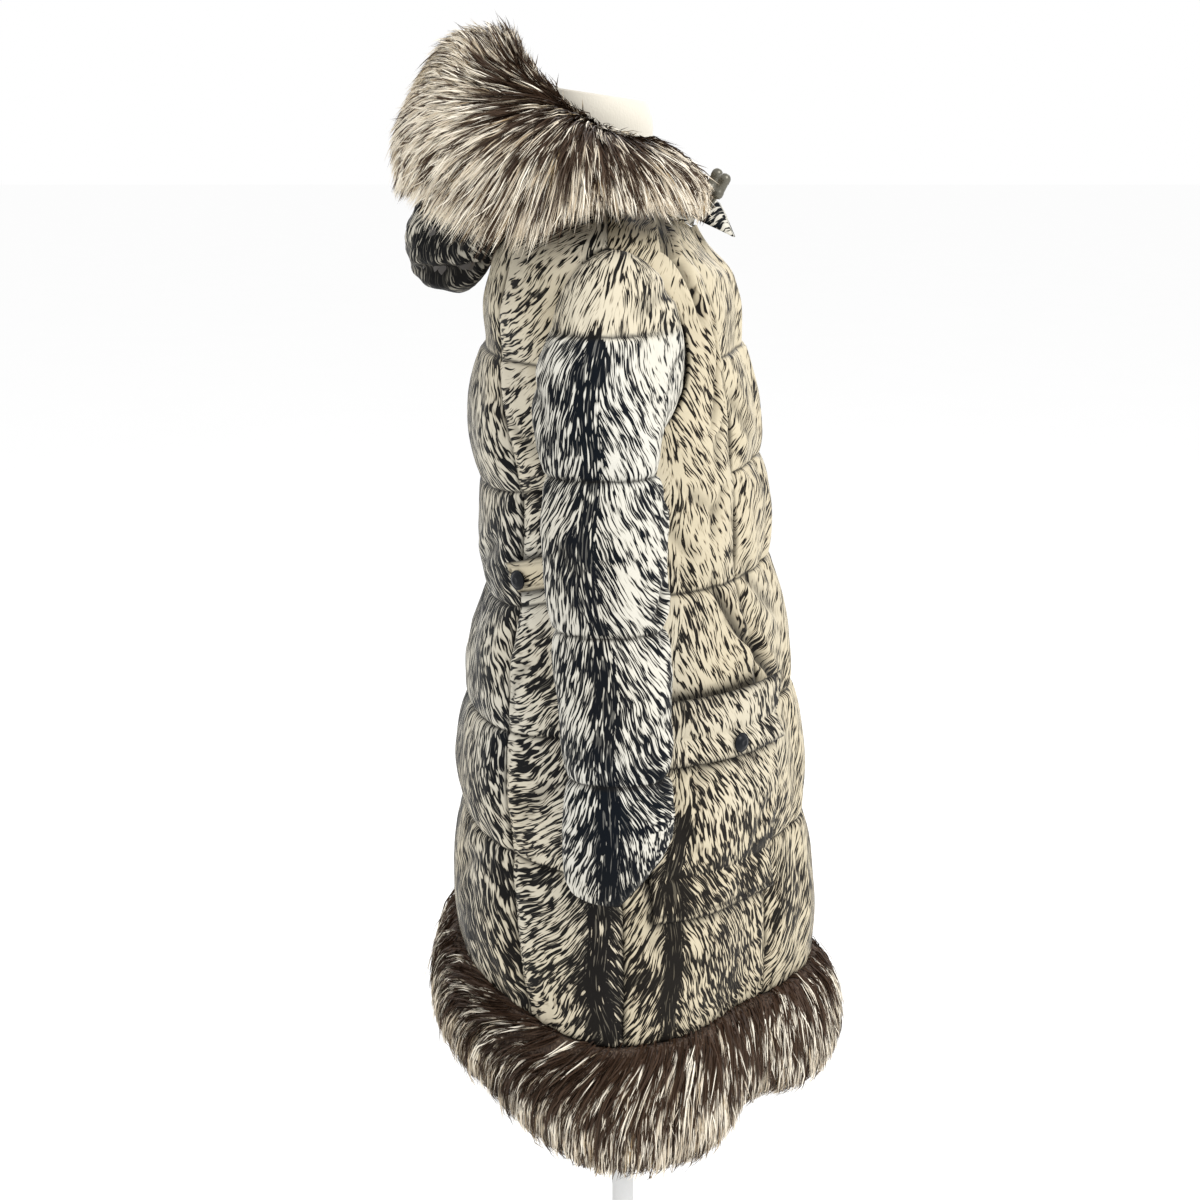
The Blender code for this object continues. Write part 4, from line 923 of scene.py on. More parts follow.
def sleeve(hand, side, seed):
    """A sleeve's outer and under halves: sleeve_point with padding, puckers, creases and a dark spine."""
    rows, columns = SLEEVE_GRID
    share = np.linspace(0, 1, rows + 1)[:, None]
    turn = np.linspace(-90, 270, columns + 1)[None, :] + 0 * share
    share = share + 0 * turn
    points = sleeve_point(turn, share, side)
    normals = outward(lambda first, second: sleeve_point(first, second, side), turn, share, 1.0, 0.004)
    centre = (points + sleeve_point(turn + 180, share, side)) / 2
    normals *= np.sign((normals * (points - centre)).sum(-1, keepdims=True))
    scaled = share * 22
    z = points[..., 2] - cuff_rise(turn, share)
    across = lengths_across(points)
    across = across - across[:, columns // 4:columns // 4 + 1]
    total = across[:, -1:] - across[:, :1]
    near = np.minimum(np.abs(turn + 90), np.minimum(np.abs(turn - 90), np.abs(turn - 270))) / 360 * total
    at_seam = ease((scaled - 1) / 3)
    height = SLEEVE_PUFF_HEIGHT * puff(z, SLEEVE_QUILT) * at_seam
    front_of_head = np.exp(-((turn - 80) / 40) ** 2 - ((z - 1.255) / 0.055) ** 2)
    height *= 1 - 0.85 * front_of_head
    away, _ = line_distance(z, SLEEVE_QUILT)
    relief = quilted_relief(across, z, SLEEVE_QUILT, seed, 0.9) * at_seam
    relief += seam_puckers(across, share * 0.55, seed + 3) + 0.6 * seam_puckers(z, near, seed + 4) * at_seam
    per_degree = math.radians(0.052)  # length of a degree round a tube of about 52 mm radius
    turn_length, folds = per_degree * ((turn + 180) % 360 - 180), 0 * relief
    for piece, begin, finish, depth, wide in SLEEVE_CREASES:
        if piece == "sleeve_" + hand:
            folds += crease(turn_length, z, (per_degree * begin[0], begin[1]),
                            (per_degree * finish[0], finish[1]), depth, wide)
    relief += folds
    relief = np.minimum(relief, RELIEF_LIMIT)
    stitched = STITCH_DEPTH * np.exp(-(away / STITCH_WIDTH) ** 2) * at_seam
    rolled = 0.0016 * np.exp(-near / 0.0025) * at_seam
    inset = SEAM_THICKNESS * (1 - ease((scaled - 1) / 2))
    thick = np.maximum(SEAM_THICKNESS + height + relief - stitched - rolled, 0.0014)
    cuff = 1 - 0.35 * ease((share - 0.985) / 0.015)
    inner, outer = points - normals * inset[..., None], points + normals * (thick * cuff - inset)[..., None]

    wrapped = np.where(across > total / 2, across - total, across)
    wander = smooth_rows(SLEEVE_SPINE, z)[..., 0] + 0.003 * np.sin(z * 37 + 1.3 * seed)
    height_drawn = drawn_height(z, points, rows // 5, -1)
    ahead = fall_lines(wrapped, height_drawn, 74, 42, 0.07, seed * 2.3, wander)
    behind = fall_lines(wrapped, height_drawn, 78, 62, 0.07, seed * 2.3, wander)
    lie = np.where((wrapped > wander)[..., None], ahead, behind)
    cap = ease((z - 1.278) / 0.012)
    broken = 0.85 + 0.45 * swells(across, z, seed + 20, 0.055)
    stripe = 0.50 * broken * np.exp(-((wrapped - wander) / 0.0125) ** 2) * (1 - 0.45 * cap)
    ahead_of = ease((wrapped - wander + 0.01) / 0.02)
    sides = 0.40 + ahead_of * (0.38 * (1 - ease((z - 0.90) / 0.15)) - 0.22)
    sides = sides * (1 - cap) + 0.24 * cap
    sides = sides + 0.10 * np.exp(-((wrapped - wander) / 0.028) ** 2) * (1 - cap)
    dark = sides + stripe + 0.14 * swells(across, z, seed + 21, 0.10)
    warm = np.clip(0.06 + 0.70 * cap + 0.10 * swells(across, z, seed + 22, 0.15), 0, 1)
    # painted shade: along the quilting lines, at the armhole and seams, in hollows and creases
    shade = np.exp(-(away / GROOVE_SHADE_WIDTH) ** 2) * at_seam + 0.15 * np.exp(-(share * 0.55 / 0.002) ** 2)
    shade += 0.5 * np.exp(-(near / 0.002) ** 2)
    shade += 0.55 * hollowness(thick) + 0.5 * np.clip(-folds / 0.006, 0, 1)
    tone = np.stack([dark, warm, np.clip(shade, 0, 1)], -1)
    half = columns // 2
    for part, first in (("outer", 0), ("under", half)):
        cut = slice(first, first + half + 1)
        inside, outside = inner[:, cut].copy(), outer[:, cut].copy()
        for grid in (inside, outside):
            grid[:, 0] += SEAM_GAP / 2 * unit(grid[:, 1] - grid[:, 0])
            grid[:, -1] += SEAM_GAP / 2 * unit(grid[:, -2] - grid[:, -1])
        name = "sleeve_%s_%s" % (part, hand)
        made = shell(name, inside, outside, SLEEVE, lie[:, cut], tone[:, cut], side > 0)


# ---------------------------------------------------------------- pockets, flaps, tabs and snaps
def laid_points(side, angle, level, above):
    """Points this far above the panels' padding, with the normals there."""
    normals = body_normal(side * angle, level)
    height = SEAM_THICKNESS + PUFF_HEIGHT * puff(level, QUILT_LEVELS) + above
    return body_point(side * angle, level) + normals * height[..., None], normals


def laid_piece(name, kind, side, outline, above, seed, bulge=0.0, slant=0.0, rows=48, columns=72):
    """A pocket, flap or tab: laid_points over its angles and levels, its edges turned in and stitched down.

    slant is how many degrees its last edge leans back towards the top; bulge fills a pocket below its flap.
    """
    front, back, low, high = outline
    level = np.linspace(low, high, rows + 1)[:, None]
    share = np.linspace(0, 1, columns + 1)[None, :]
    reach = back - slant * (high - level) / (high - low)
    angle = front + (reach - front) * share
    level = level + 0 * angle
    inner, normals = laid_points(side, angle, level, above)
    across = lengths_across(inner)
    width = across[:, -1:]
    edge = np.minimum(np.minimum(across, width - across), np.minimum(level - low, high - level))
    below_flap = np.clip((level - low) / (FLAP_BOTTOM - POCKET_BOTTOM), 0, 1)
    swell = bulge * np.sin(np.pi * share) ** 0.7 * np.abs(np.sin(np.pi * below_flap)) ** 0.8
    gathered = (ripple(across, seed + 1, 0.016) - 0.45) * np.exp(-edge / 0.008)
    loose = 0.0013 * swells(across, level, seed, 0.055) + 0.0016 * gathered
    for begin, finish, depth, wide in POCKET_CREASES if bulge else ():
        span = width.mean()
        loose = loose + crease(share * span, level, (begin[0] * span, begin[1]),
                               (finish[0] * span, finish[1]), depth, wide)
    turned_in = 0.0011 + (CLOTH - 0.0011) * (1 - np.exp(-edge / 0.0016))
    topstitch = 0.0009 * np.exp(-((edge - TOPSTITCH_IN) / 0.0009) ** 2)
    thick = np.maximum(turned_in + swell + np.minimum(loose, RELIEF_LIMIT) - topstitch, 0.0009)
    outer = inner + normals * thick[..., None]
    lie, dark, warm = print_at(kind, angle, level[:, :1], inner[..., 2], seed)
    if kind == "side_back":
        dark, warm = dark - 0.38, np.clip(warm + 0.55, 0, 1)
    else:
        dark = dark + 0.12
    shade = 0.7 * np.exp(-((edge - TOPSTITCH_IN) / 0.0008) ** 2) + 0.95 * np.exp(-(edge / 0.0026) ** 2)
    shade += 0.5 * hollowness(thick)
    if bulge:
        shade += 0.9 * laid_shadow(angle, level, FLAP_OUTLINE)
    tone = np.stack([dark, warm, np.clip(shade, 0, 1)], -1)
    made = shell(name, inner, outer, SHELL, lie, tone, side < 0)


def snap(name, side, at, above, material):
    """A dome snap: a raised rim, a groove and a dome with a flat middle, turned about the cloth's normal."""
    centre, normal = laid_points(side, np.array(at[0]), np.array(at[1]), np.array(above + SNAP_SETTING))
    r, h = SNAP_RADIUS, SNAP_HEIGHT
    profile = [(0.9 * r, -0.001), (r, 0.0), (r, 0.26 * h), (0.96 * r, 0.36 * h), (0.90 * r, 0.40 * h),
               (0.86 * r, 0.34 * h), (0.82 * r, 0.36 * h), (0.74 * r, 0.60 * h), (0.60 * r, 0.80 * h),
               (0.40 * r, 0.93 * h), (0.30 * r, 0.97 * h), (0.27 * r, 0.93 * h), (0.08 * r, 0.93 * h)]
    turned(name, profile, centre, normal, material, [name])


def make_pockets_and_tabs():
    """On each hand a pocket, its flap with a snap over it, and the waist tab with its snap."""
    over_pocket = LAID_ON + CLOTH + 2 * SEAM_GAP + FLAP_OVER_POCKET
    black = painted("snap_enamel", (0.004, 0.005, 0.008), (0.012, 0.013, 0.016), 0.28, specular=0.15)
    for hand, side, seed in (("right", 1, 100), ("left", -1, 140)):
        laid_piece("pocket_" + hand, "side_front", side, POCKET_OUTLINE, LAID_ON, seed,
                   bulge=POCKET_BULGE, rows=60)
        laid_piece("flap_" + hand, "side_front", side, FLAP_OUTLINE, over_pocket, seed + 1,
                   rows=24)
        laid_piece("tab_" + hand, "side_back", side, TAB_OUTLINE, LAID_ON, seed + 2,
                   slant=TAB_SLANT, rows=18, columns=48)
        snap("flap_snap_" + hand, side, FLAP_SNAP_AT, over_pocket + CLOTH + SEAM_GAP, black)
        snap("tab_snap_" + hand, side, TAB_SNAP_AT, LAID_ON + CLOTH + SEAM_GAP, black)


# ---------------------------------------------------------------- hood, collar, toggles
def neck_direction(angle):
    """Level unit vectors out from the neck's axis."""
    turn = np.radians(angle)
    return np.stack([-np.sin(turn), -np.cos(turn), 0 * turn], -1)


def hood_point(angle, share):
    """The hood's shell: a path out from the neckline, down into its bag and up to its opening edge."""
    path = smooth_rows(HOOD_PATH, share)
    bag = ease(1 - np.abs(angle - 180) / HOOD_BAG_SPREAD)
    radius = path[..., 2] + (path[..., 0] - path[..., 2]) * bag
    point = neck_direction(angle) * radius[..., None]
    point[..., 1] += NECK_AXIS_Y
    point[..., 2] = path[..., 3] + (path[..., 1] - path[..., 3]) * bag
    return point


def make_hood():
    """The hood: hood_point with folds that run down into the bag and a few across it."""
    share = np.linspace(0, 1, 121)[:, None]
    angle = np.linspace(HOOD_START, HOOD_END, 151)[None, :] + 0 * share
    share = share + 0 * angle
    points, normals = hood_point(angle, share), outward(hood_point, angle, share, 1.0, 0.01)
    behind = ease(1 - np.abs(angle - 180) / HOOD_BAG_SPREAD)
    slack = behind * ease((share - 0.04) / 0.14) * (1 - ease((share - 0.40) / 0.16))
    points[..., 1] -= 0.012 * slack
    across, middle = lengths_across(points), angle.shape[1] // 2
    across = across - across[:, middle:middle + 1]
    down = 0.42 * share
    bag = behind * ease(share / 0.12) * ease((1 - share) / 0.10)
    broad, fine = swells(across, 0.5 * down, 301, 0.075), swells(across, down, 302, 0.035)
    relief = bag * (0.0045 * broad + 0.0022 * fine)
    for begin, finish, depth, wide in HOOD_CREASES:
        relief += bag * crease(across, down, begin, finish, depth, wide)
    raised = np.clip(relief, -0.0105, 0.004)[..., None]
    inner, outer = points + normals * raised, points + normals * (CLOTH + raised)
    out, slope = np.abs(across), math.radians(58)
    along_strokes = out * math.sin(slope) - down * math.cos(slope)
    over_strokes = out * math.cos(slope) + down * math.sin(slope)
    lie = np.stack([along_strokes, over_strokes, 17 + 0 * down], -1)
    shade = 0.66 * ease((1.38 - points[..., 2]) / 0.07) + 0.7 * hollowness(relief)
    tone = np.stack([0.82 + 0.3 * swells(across, down, 303, 0.06), 0.30 + 0 * down, np.clip(shade, 0, 1)], -1)
    made = shell("hood", inner, outer, SHELL, lie, tone, False)


def make_collar(hand, side, seed):
    """A collar: its section carried round the neckline, from the folded point to where the ruff hides it."""
    angle = np.linspace(COLLAR_FRONT, COLLAR_BACK, 61)[None, :]
    rows = np.linspace(0, 3, 31)
    table = np.column_stack([np.arange(4.0), np.array(COLLAR_UPRIGHT), np.array(COLLAR_FOLDED)])
    section_rows = smooth_rows(table, rows)[:, None]
    upright, folded = section_rows[..., :2], section_rows[..., 2:]
    down = 1 - ease((angle - COLLAR_FOLD) / COLLAR_FOLD_LENGTH)
    section = upright + (folded - upright) * down[..., None]
    neckline = body_point(side * angle, NECK_LEVEL) + body_normal(side * angle, NECK_LEVEL) * SEAM_THICKNESS
    points = neckline + neck_direction(side * angle) * section[..., :1] + section[..., 1:] * (0, 0, 1)
    normals = unit(np.cross(np.gradient(points, axis=0), np.gradient(points, axis=1)) * side)
    across = lengths_across(points)
    tall = lengths_across(points.swapaxes(0, 1)).T
    edge = np.minimum(np.minimum(across, across[:, -1:] - across), tall[-1:] - tall)
    topstitch = np.exp(-((edge - 0.0045) / 0.0008) ** 2)
    thick = 0.0012 + (CLOTH - 0.0012) * (1 - np.exp(-edge / 0.0014)) - 0.0007 * topstitch
    lie = fall_lines(across, tall, 35, 25, 0.05, seed)
    tone = np.stack([0.30 + 0 * tall, 0.15 + 0 * tall, 0.6 * topstitch], -1)
    outer = points + normals * thick[..., None]
    made = shell("collar_" + hand, points, outer, [SHELL[0], SHELL[0]], lie, tone, side < 0)


def make_toggle(hand, side, material):
    """A cord end: a stub of cord, then a waisted barrel with a domed end, turned about its axis."""
    centre = neck_direction(np.array(side * TOGGLE_ANGLE)) * TOGGLE_RADIUS_OUT + (0, NECK_AXIS_Y, TOGGLE_Z)
    cord = [(0.0010, -0.024), (0.0016, -0.0235), (0.0018, -0.020), (0.0015, -0.0185), (0.0018, -0.017),
            (0.0015, -0.0155), (0.0018, -0.014)]
    barrel = [(0.0030, -0.0132), (0.0045, -0.0128), (0.0052, -0.0115), (0.0060, -0.0100), (0.0060, -0.0060),
              (0.0056, -0.0055), (0.0056, 0.0035), (0.0060, 0.0040), (0.0060, 0.0080), (0.0057, 0.0092)]
    dome = [(0.0050, 0.0105), (0.0042, 0.0116), (0.0030, 0.0125), (0.0010, 0.0130)]
    name = "toggle_" + hand
    turned(name, cord + barrel + dome, centre, TOGGLE_AXIS, material, [name], 40)


# ---------------------------------------------------------------- fur
def rows_between(sections, row):
    """Points at a fractional row of sections (..., rows, values): cubic between rows, straight past them."""
    count = sections.shape[-2]
    low = np.clip(np.floor(row), 0, count - 2).astype(int)
    share = (row - low)[..., None]
    slopes = np.gradient(sections, axis=-2)

    def take(values, at):
        return np.take_along_axis(values, at[..., None, None], -2)[..., 0, :]

    start, end = take(sections, low), take(sections, low + 1)
    rise, run = take(slopes, low), take(slopes, low + 1)
    t = np.clip(share, 0, 1)
    inside = (start * (1 + 2 * t) * (1 - t) ** 2 + rise * t * (1 - t) ** 2 + end * t * t * (3 - 2 * t)
              - run * t * t * (1 - t))
    return inside + run * (share - t)


def ruff_section(angle):
    """The ruff's section at each angle, as points in space: (..., 7, 3)."""
    around = np.minimum(angle, 360 - angle)
    flat = smooth_rows(RUFF, around)
    radius, height = flat[..., 0::2], flat[..., 1::2]
    points = neck_direction(angle)[..., None, :] * radius[..., None]
    points[..., 1] += NECK_AXIS_Y
    points[..., 2] = height
    return points


def hem_section(angle):
    """The hem band's section at each angle, as points in space: (..., 8, 3)."""
    angle = angle % 360
    edge = body_point(angle, HEM_LEVEL + 0 * angle)
    normal = unit(body_normal(angle, HEM_LEVEL + 0.02 + 0 * angle) * (1, 1, 0))
    form = smooth_rows(HEM_FUR_FORM, angle)
    out, share = HEM_FUR_SECTION[:, :1], HEM_FUR_SECTION[:, 1:]
    fuller = (1 + form[..., 1] / HEM_FUR_SECTION[:, 0].max())[..., None, None]
    hanging = form[..., 0][..., None, None] * share * (0, 0, 1)
    return edge[..., None, :] + normal[..., None, :] * out * fuller - hanging


def skin_fill(profile, row, lowered=0.0):
    """How far out the dense base reaches at this row: a table's value, lowered for the roots inside it."""
    return np.interp(row, np.arange(len(profile)), profile) - lowered


def in_fur(section, angle, row, filled):
    """A point of the fur: filled 0 is the middle of the section, 1 its surface."""
    sections = section(angle)
    middle = sections.mean(-2)
    return middle + (rows_between(sections, row) - middle) * filled[..., None]


def comb(section, angle, row, length, sweep, filled_root, filled_tip):
    """Centre lines of locks, from each root down the surface, turned by sweep(angle, row), rising to it."""
    line = []
    stretch = length / (LOCK_STEPS - 1)
    for number in range(LOCK_STEPS):
        share = number / (LOCK_STEPS - 1)
        filled = filled_root + (filled_tip - filled_root) * share ** 0.7
        line.append(in_fur(section, angle, row, filled))
        along = in_fur(section, angle + 0.5, row, filled) - in_fur(section, angle - 0.5, row, filled)
        down = (in_fur(section, angle, row + 0.05, filled) - in_fur(section, angle, row - 0.05, filled)) * 10
        turn = np.radians(sweep(angle, row))
        angle = angle + np.sin(turn) * stretch / np.maximum(np.linalg.norm(along, axis=-1), 5e-4)
        row = row + np.cos(turn) * stretch / np.maximum(np.linalg.norm(down, axis=-1), 1e-3)
    return np.stack(line, 1)


def hairs(name, material, centre_lines, outsides, zone, paler, seed):
    """Locks of flat tapered hairs.

    Each hair is its lock's centre line, set off sideways at the root and drawn in to a point, with a wave of
    its own. Some locks stay dark; the others turn cream farther out where zone is high, and to a brighter
    cream where paler is above 0.
    """
    rng = np.random.default_rng(seed)
    locks, steps = centre_lines.shape[:2]
    along = unit(np.gradient(centre_lines, axis=1))
    out = unit(outsides[:, None] - along * (outsides[:, None] * along).sum(-1, keepdims=True))
    aside = np.cross(along, out)
    share = np.linspace(0, 1, steps)[None, None, :, None]
    shape = (locks, HAIRS_EACH, 1, 1)
    loose = rng.random((locks, 1, 1, 1)) < 0.30
    draw = 1 - np.where(loose, 0.35, 0.86) * share
    off_side, off_out = rng.normal(0, LOCK_SPREAD, shape), rng.normal(0, LOCK_SPREAD * 0.45, shape)
    shift, reach = rng.normal(0, LOCK_SPREAD * 1.2, shape), rng.uniform(0.74, 1.14, shape)
    wave_size = rng.normal(0, 0.0020, shape)
    waves, wave_start = rng.uniform(0.8, 1.7, shape), rng.uniform(0, 6.28, shape)
    wave = wave_size * np.sin(np.pi * share * waves + wave_start) * share
    stray = rng.normal(0, 1, shape) * (rng.random(shape) < 0.08) * 0.006 * share ** 1.5
    root = centre_lines[:, None, :1]
    spine = root + (centre_lines[:, None] - root) * reach
    spine = spine + aside[:, None] * (off_side * draw + wave + stray) + along[:, None] * shift
    spine = spine + out[:, None] * (off_out * draw + 0.5 * np.abs(stray))
    roll = rng.normal(0, 0.55, shape)
    broad = aside[:, None] * np.cos(roll) + out[:, None] * np.sin(roll)
    thick = HAIR_WIDTH * rng.uniform(0.7, 1.3, shape) * np.maximum(1 - share, 0.0) ** 0.40
    left, right = spine - broad * thick / 2, spine + broad * thick / 2
    body = np.stack([left[:, :, :-1], right[:, :, :-1]], 3).reshape(locks * HAIRS_EACH, 2 * (steps - 1), 3)
    points = np.concatenate([body, spine[:, :, -1].reshape(-1, 1, 3)], 1)
    each = points.shape[1]
    quads = np.array([(2 * k, 2 * k + 1, 2 * k + 3, 2 * k + 2) for k in range(steps - 2)])
    tip = np.array([(each - 3, each - 2, each - 1)])
    offset = (np.arange(len(points)) * each)[:, None, None]
    faces = [(quads + offset).reshape(-1, 4), (tip + offset).reshape(-1, 3)]
    turn = 0.20 + 0.28 * zone + rng.normal(0, 0.11, locks)
    turn = np.where(rng.random(locks) < 0.16 + 0.52 * zone, 1.6, turn)
    turn = turn[:, None] + rng.normal(0, 0.07, (locks, HAIRS_EACH))
    lot = rng.normal(0.55, 0.20, (locks, 1)) + np.reshape(paler, (-1, 1))
    lot = np.clip(lot + rng.normal(0, 0.18, (locks, HAIRS_EACH)), 0, 1)
    lengths = np.append(np.repeat(np.linspace(0, 1, steps)[:-1], 2), 1.0)
    tint = np.stack(np.broadcast_arrays(lengths, turn.reshape(-1, 1), lot.reshape(-1, 1)), -1)
    return new_piece(name, points.reshape(-1, 3), faces, [material], (), {"tint": tint})


def scatter(count, low, high, seed, weight):
    """Evenly strewn pairs (a golden lattice), thinned by weight(first, second) to be even on the surface."""
    number = np.arange(1, count * 6 + 1)
    first = low[0] + (high[0] - low[0]) * ((seed * 0.13 + number * 0.7548776662466927) % 1)
    second = low[1] + (high[1] - low[1]) * ((seed * 0.29 + number * 0.5698402909980532) % 1)
    chance = weight(first, second)
    kept = np.random.default_rng(seed).random(len(first)) < chance / chance.max()
    first, second = first[kept], second[kept]
    if len(first) > count:
        pick = np.sort(np.random.default_rng(seed + 1).choice(len(first), count, replace=False))
        first, second = first[pick], second[pick]
    return first, second


def area_of(section):
    """How much surface a step of one degree and one row covers."""
    def weight(angle, row):
        full = np.ones_like(angle)
        along = in_fur(section, angle + 0.5, row, full) - in_fur(section, angle - 0.5, row, full)
        down = in_fur(section, angle, row + 0.1, full) - in_fur(section, angle, row - 0.1, full)
        return np.linalg.norm(np.cross(along, down), axis=-1)
    return weight


def left_below(section, angle, row, last):
    """Length of surface from row to the last row."""
    rows = row[:, None] + (last - row[:, None]) * np.linspace(0, 1, 13)
    points = in_fur(section, angle[:, None] + 0 * rows, rows, np.ones_like(rows))
    return np.linalg.norm(np.diff(points, axis=1), axis=-1).sum(1)


# how much of the section the dense base fills, row by row: all of it at the seams
RUFF_FILL = (1.00, 0.97, 0.88, 0.78, 0.74, 0.74, 0.84)
HEM_FILL = (1.015, 1.015, 0.82, 0.74, 0.74, 0.80, 0.90, 1.00)
# angle, sweep round the neck in degrees: to the front below 0, to the back above
RUFF_SWEEP = np.array([(32, -80), (45, -74), (60, -60), (75, -36), (90, -6), (105, 26), (120, 56), (140, 72),
                       (162, 58), (180, 0)], float)
# angle, how far the dark reaches out from the opening edge, in rows
RUFF_DARK = np.array([(32, 2.6), (60, 3.4), (85, 4.8), (105, 5.2), (122, 4.3), (145, 3.5), (180, 3.2)])
# angle, sweep at the top of the hem band, towards the back
HEM_SWEEP = np.array([(0, 0), (45, 24), (90, 44), (120, 66), (150, 70), (180, 0)], float)


def fur_skin(name, section, angles, loop, profile, material):
    """The fur's dense base: its section drawn in, closed at both ends or joined round."""
    rows = np.linspace(0, len(profile) - 1, 4 * len(profile) + 1)
    if loop:
        angles = angles[:-1]
    grid_angle, grid_row = np.meshgrid(angles, rows, indexing="ij")
    points = in_fur(section, grid_angle, grid_row, skin_fill(profile, grid_row))
    index = np.arange(points.shape[0] * points.shape[1]).reshape(points.shape[:2])
    looped = np.concatenate([index, index[:, :1]], 1)
    if loop:
        looped = np.concatenate([looped, looped[:1]], 0)
    faces = [grid_faces(looped)[:, ::-1]]
    if not loop:
        faces.append(np.stack([index[0], index[-1][::-1]]))
    return new_piece(name, points.reshape(-1, 3), faces, [material], [name.replace("_skin", "")])


def make_ruff():
    """The ruff: locks over the hood's opening edge, dark near it, swept forward in front and back behind."""
    wool, hair = underfur("ruff_wool"), hair_finish("ruff_hair")
    fur_skin("hood_fur_skin", ruff_section, np.linspace(32.0, 328.0, 90), False, RUFF_FILL, wool)

    def sweep(angle, row):
        around = np.minimum(angle, 360 - angle)
        turned_by = smooth_rows(RUFF_SWEEP, around)[..., 0] * (1 - 0.35 * ease((row - 4) / 2))
        return turned_by * np.where(angle < 180, 1, -1) * ease((row - 1.8) / 1.4)

    for hand, low, high, seed in (("right", 32.0, 180.0, 5), ("left", 180.0, 328.0, 6)):
        angle, row = scatter(LOCKS["ruff"], (low, 1.2), (high, 5.8), seed, area_of(ruff_section))
        rng = np.random.default_rng(seed)
        left = left_below(ruff_section, angle, row, 5.9)
        turned_by = np.radians(np.abs(sweep(angle, row)))
        around = np.minimum(angle, 360 - angle)
        length = rng.normal(0.058, 0.011, len(angle)) * (1 - 0.40 * ease((around - 108) / 22))
        length *= 0.45 + 0.55 * ease((around - 34) / 20)
        length = np.where(row < 2.6, 0.5, 1.0) * np.clip(length, 0.024, 0.085)
        beyond = 0.003 + 0.024 * ease((around - 92) / 10) * (1 - ease((around - 128) / 14))
        beyond = beyond - 0.014 * ease((50 - around) / 12) + rng.normal(0, 0.003, len(angle))
        length = np.minimum(length, left / np.maximum(np.cos(0.7 * turned_by), 0.4) + beyond)
        root = skin_fill(RUFF_FILL, row, ROOT_SUNK) + rng.uniform(-0.05, 0.03, len(angle))
        rise = 1.0 + rng.normal(0, 0.030, len(angle))
        lines = comb(ruff_section, angle, row, np.maximum(length, 0.012), sweep, root, rise)
        outsides = unit(lines[:, 2] - ruff_section(angle).mean(-2))
        patch = swells(np.radians(angle) * 0.2, row * 0.03, seed, 0.055)
        dark_to = smooth_rows(RUFF_DARK, around)[..., 0]
        patchy = 0.50 * patch * ease(row - 2) * (1 - ease(row - 4.8))
        zone = np.clip(1.1 - ease((row - dark_to + 1.2) / 1.5) + patchy, 0, 1)
        paler = 0.16 * ease((around - 100) / 25) + 0.05
        hairs("hood_fur_hair_" + hand, hair, lines, outsides, zone, paler, seed + 40)


def make_hem_fur():
    """The hem band: locks from its seam down and round under it, swept back at the top and straight below."""
    wool, hair = underfur("hem_wool"), hair_finish("hem_hair")
    fur_skin("hem_fur_skin", hem_section, np.linspace(0.0, 360.0, 145), True, HEM_FILL, wool)

    def sweep(angle, row):
        around = angle % 360
        mirrored = np.minimum(around, 360 - around)
        turned_by = smooth_rows(HEM_SWEEP, mirrored)[..., 0] * (1 - ease((row - 1.0) / 2.6))
        return turned_by * np.where(around < 180, 1, -1)

    for hand, low, high, seed in (("right", 0.0, 180.0, 7), ("left", 180.0, 360.0, 8)):
        angle, row = scatter(LOCKS["hem"], (low, 0.05), (high, 5.3), seed, area_of(hem_section))
        rng = np.random.default_rng(seed)
        left = left_below(hem_section, angle, row, 5.5)
        length = np.clip(rng.normal(0.052, 0.010, len(angle)), 0.025, 0.075)
        length = np.minimum(length, left + rng.normal(0.006, 0.004, len(angle)))
        top = 1 - ease((row - 0.9) / 0.9)
        root = skin_fill(HEM_FILL, row, ROOT_SUNK * (1 - top))
        root = root + rng.uniform(-0.06, 0.03, len(angle)) * (1 - 0.8 * top)
        rise = 1.0 + 0.045 * top + rng.normal(0, 0.06, len(angle)) * (1 - 0.7 * top)
        lines = comb(hem_section, angle, row, np.maximum(length, 0.012), sweep, root, rise)
        outsides = unit(lines[:, 2] - hem_section(angle).mean(-2))
        patch = swells(np.radians(angle) * 0.25, row * 0.03, seed, 0.045)
        zone = 0.80 + 0.16 * ease(row / 1.2) - 0.54 * ease((row - 1.2) / 1.6) + 0.40 * patch
        # the band darkens towards its bottom: partly the fur's own colour, partly painted shade under the
        # band
        zone = np.clip(zone + 0.12 * ease((row - 3.7) / 1.2), 0, 1)
        paler = 0.14 + 0.36 * (1 - ease(row / 2.2)) - 0.44 * ease((row - 2.2) / 2.0)
        hairs("hem_fur_hair_" + hand, hair, lines, outsides, zone, paler, seed + 40)


# ---------------------------------------------------------------- dress form
def form_point(turn, height):
    """The form's torso: an ellipse at each height, its neck cap slanting down forward."""
    width, front, back = np.moveaxis(smooth_rows(FORM_SECTIONS, height), -1, 0)
    middle, depth = (front + back) / 2, (back - front) / 2
    slant = CAP_SLANT * ease((height - 1.40) / 0.08)
    y = middle + depth * np.cos(turn)
    return np.stack([width * np.sin(turn), y, height + slant * (y - middle)], -1)


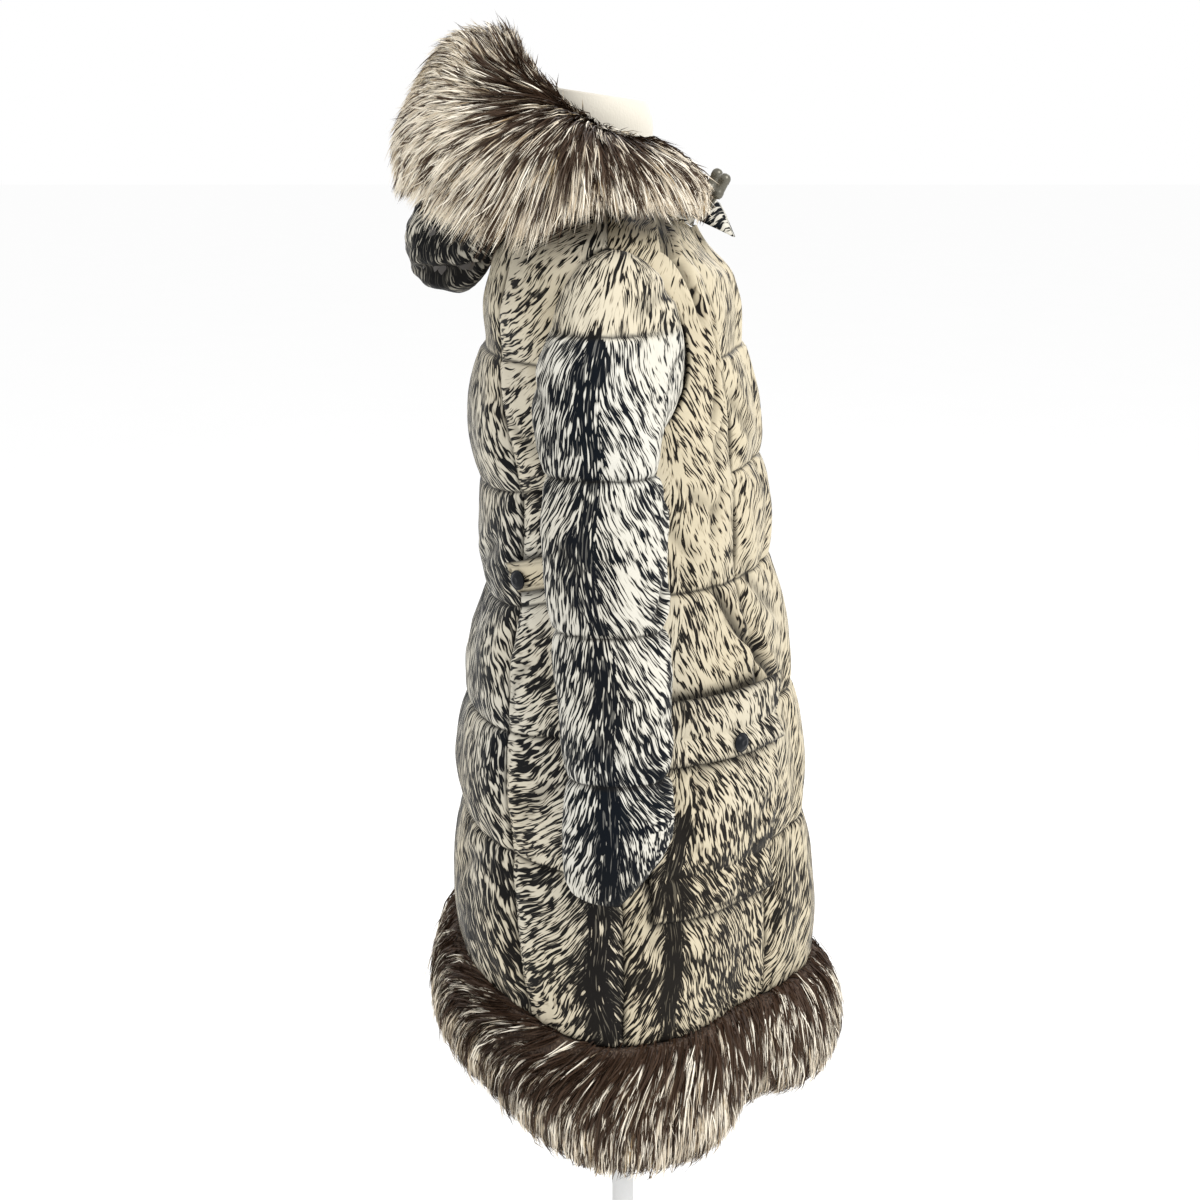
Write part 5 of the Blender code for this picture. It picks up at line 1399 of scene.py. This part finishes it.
def make_form():
    """The torso with its neck cap, the pole and the round base."""
    heights = np.concatenate([(0.800, 0.802, 0.806), np.linspace(0.815, 1.488, 120), (1.491, 1.494, 1.496)])
    height, turn = np.meshgrid(heights, np.linspace(0, 2 * np.pi, 96, endpoint=False), indexing="ij")
    points = form_point(turn, height)
    index = np.arange(turn.size).reshape(turn.shape)
    sides = grid_faces(np.concatenate([index, index[:, :1]], 1))[:, ::-1]
    caps = np.stack([index[0], index[-1][::-1]])
    new_piece("dress_form_torso", points.reshape(-1, 3), [sides, caps], [form_jersey()],
              ["form_torso"])
    white = painted("stand_paint", (0.74, 0.74, 0.73), (0.82, 0.82, 0.81), 0.40)
    r, foot, top = POLE_RADIUS, BASE_HEIGHT, FORM_SECTIONS[0, 0]
    pole = [(r, foot + SEAM_GAP), (1.5 * r, foot + SEAM_GAP), (1.5 * r, foot + 0.018),
            (1.35 * r, foot + 0.021), (r, foot + 0.022), (r, top - 0.02), (r, top - SEAM_GAP)]
    turned("stand_pole", pole, (0, 0, 0), (0, 0, 1), white, ["form_pole"])
    rim = [(BASE_RADIUS, 0), (BASE_RADIUS, foot - 0.006), (BASE_RADIUS - 0.0015, foot - 0.003),
           (BASE_RADIUS - 0.004, foot - 0.001), (BASE_RADIUS - 0.008, foot), (0.03, foot)]
    turned("stand_base", rim, (0, 0, 0), (0, 0, 1), white, ["form_base"], 128)


# ---------------------------------------------------------------- floor and light
def set_stage():
    """A pale floor in a bright room, lit by a key light from the front right above, a weak fill from behind
    on that side and a wide light from the far side."""
    mesh = bpy.data.meshes.new("studio_floor")
    mesh.from_pydata([(-30, -30, 0), (30, -30, 0), (30, 30, 0), (-30, 30, 0)], [], [(0, 1, 2, 3)])
    floor = bpy.data.objects.new("studio_floor", mesh)
    pale = Finish("studio_floor", 0.9)
    pale.colour(pale.mix(pale.noise(pale.place(), 3.0, 2.0), (0.97, 0.97, 0.97), (0.98, 0.98, 0.98)))
    pale.shader.inputs["Specular IOR Level"].default_value = 0.0
    mesh.materials.append(pale.material)
    bpy.context.scene.collection.objects.link(floor)
    for name, location, aim, size, power in (
            ("key_light", (-2.0, -2.2, 3.4), (0.0, 0.0, 1.0), 1.6, 80.0),
            ("fill_light", (-2.6, 2.2, 2.0), (0.0, 0.0, 1.0), 2.4, 6.0),
            ("far_light", (2.6, -0.6, 2.6), (0.0, 0.0, 1.0), 2.4, 30.0)):
        light = bpy.data.lights.new(name, "AREA")
        light.energy, light.size = power, size
        made = bpy.data.objects.new(name, light)
        made.location = location
        away = np.subtract(location, aim)
        tilt, swing = math.atan2(math.hypot(away[0], away[1]), away[2]), math.atan2(away[0], -away[1])
        made.rotation_euler = (tilt, 0.0, swing)
        bpy.context.scene.collection.objects.link(made)
    world = bpy.data.worlds.new("studio")
    bpy.context.scene.world = world
    world.use_nodes = True
    world.node_tree.nodes["Background"].inputs["Color"].default_value = (1.0, 1.0, 1.0, 1.0)
    world.node_tree.nodes["Background"].inputs["Strength"].default_value = 1.0
    bpy.context.scene.view_settings.view_transform = "Standard"


def main():
    set_stage()
    make_body()
    toggle = painted("toggle_plastic", (0.10, 0.095, 0.075), (0.17, 0.16, 0.13), 0.32, 0.5)
    for hand, side, seed in (("right", 1, 200), ("left", -1, 240)):
        sleeve(hand, side, seed)
        make_collar(hand, side, seed + 5)
        make_toggle(hand, side, toggle)
    make_pockets_and_tabs()
    make_hood()
    make_ruff()
    make_hem_fur()
    make_form()


main()
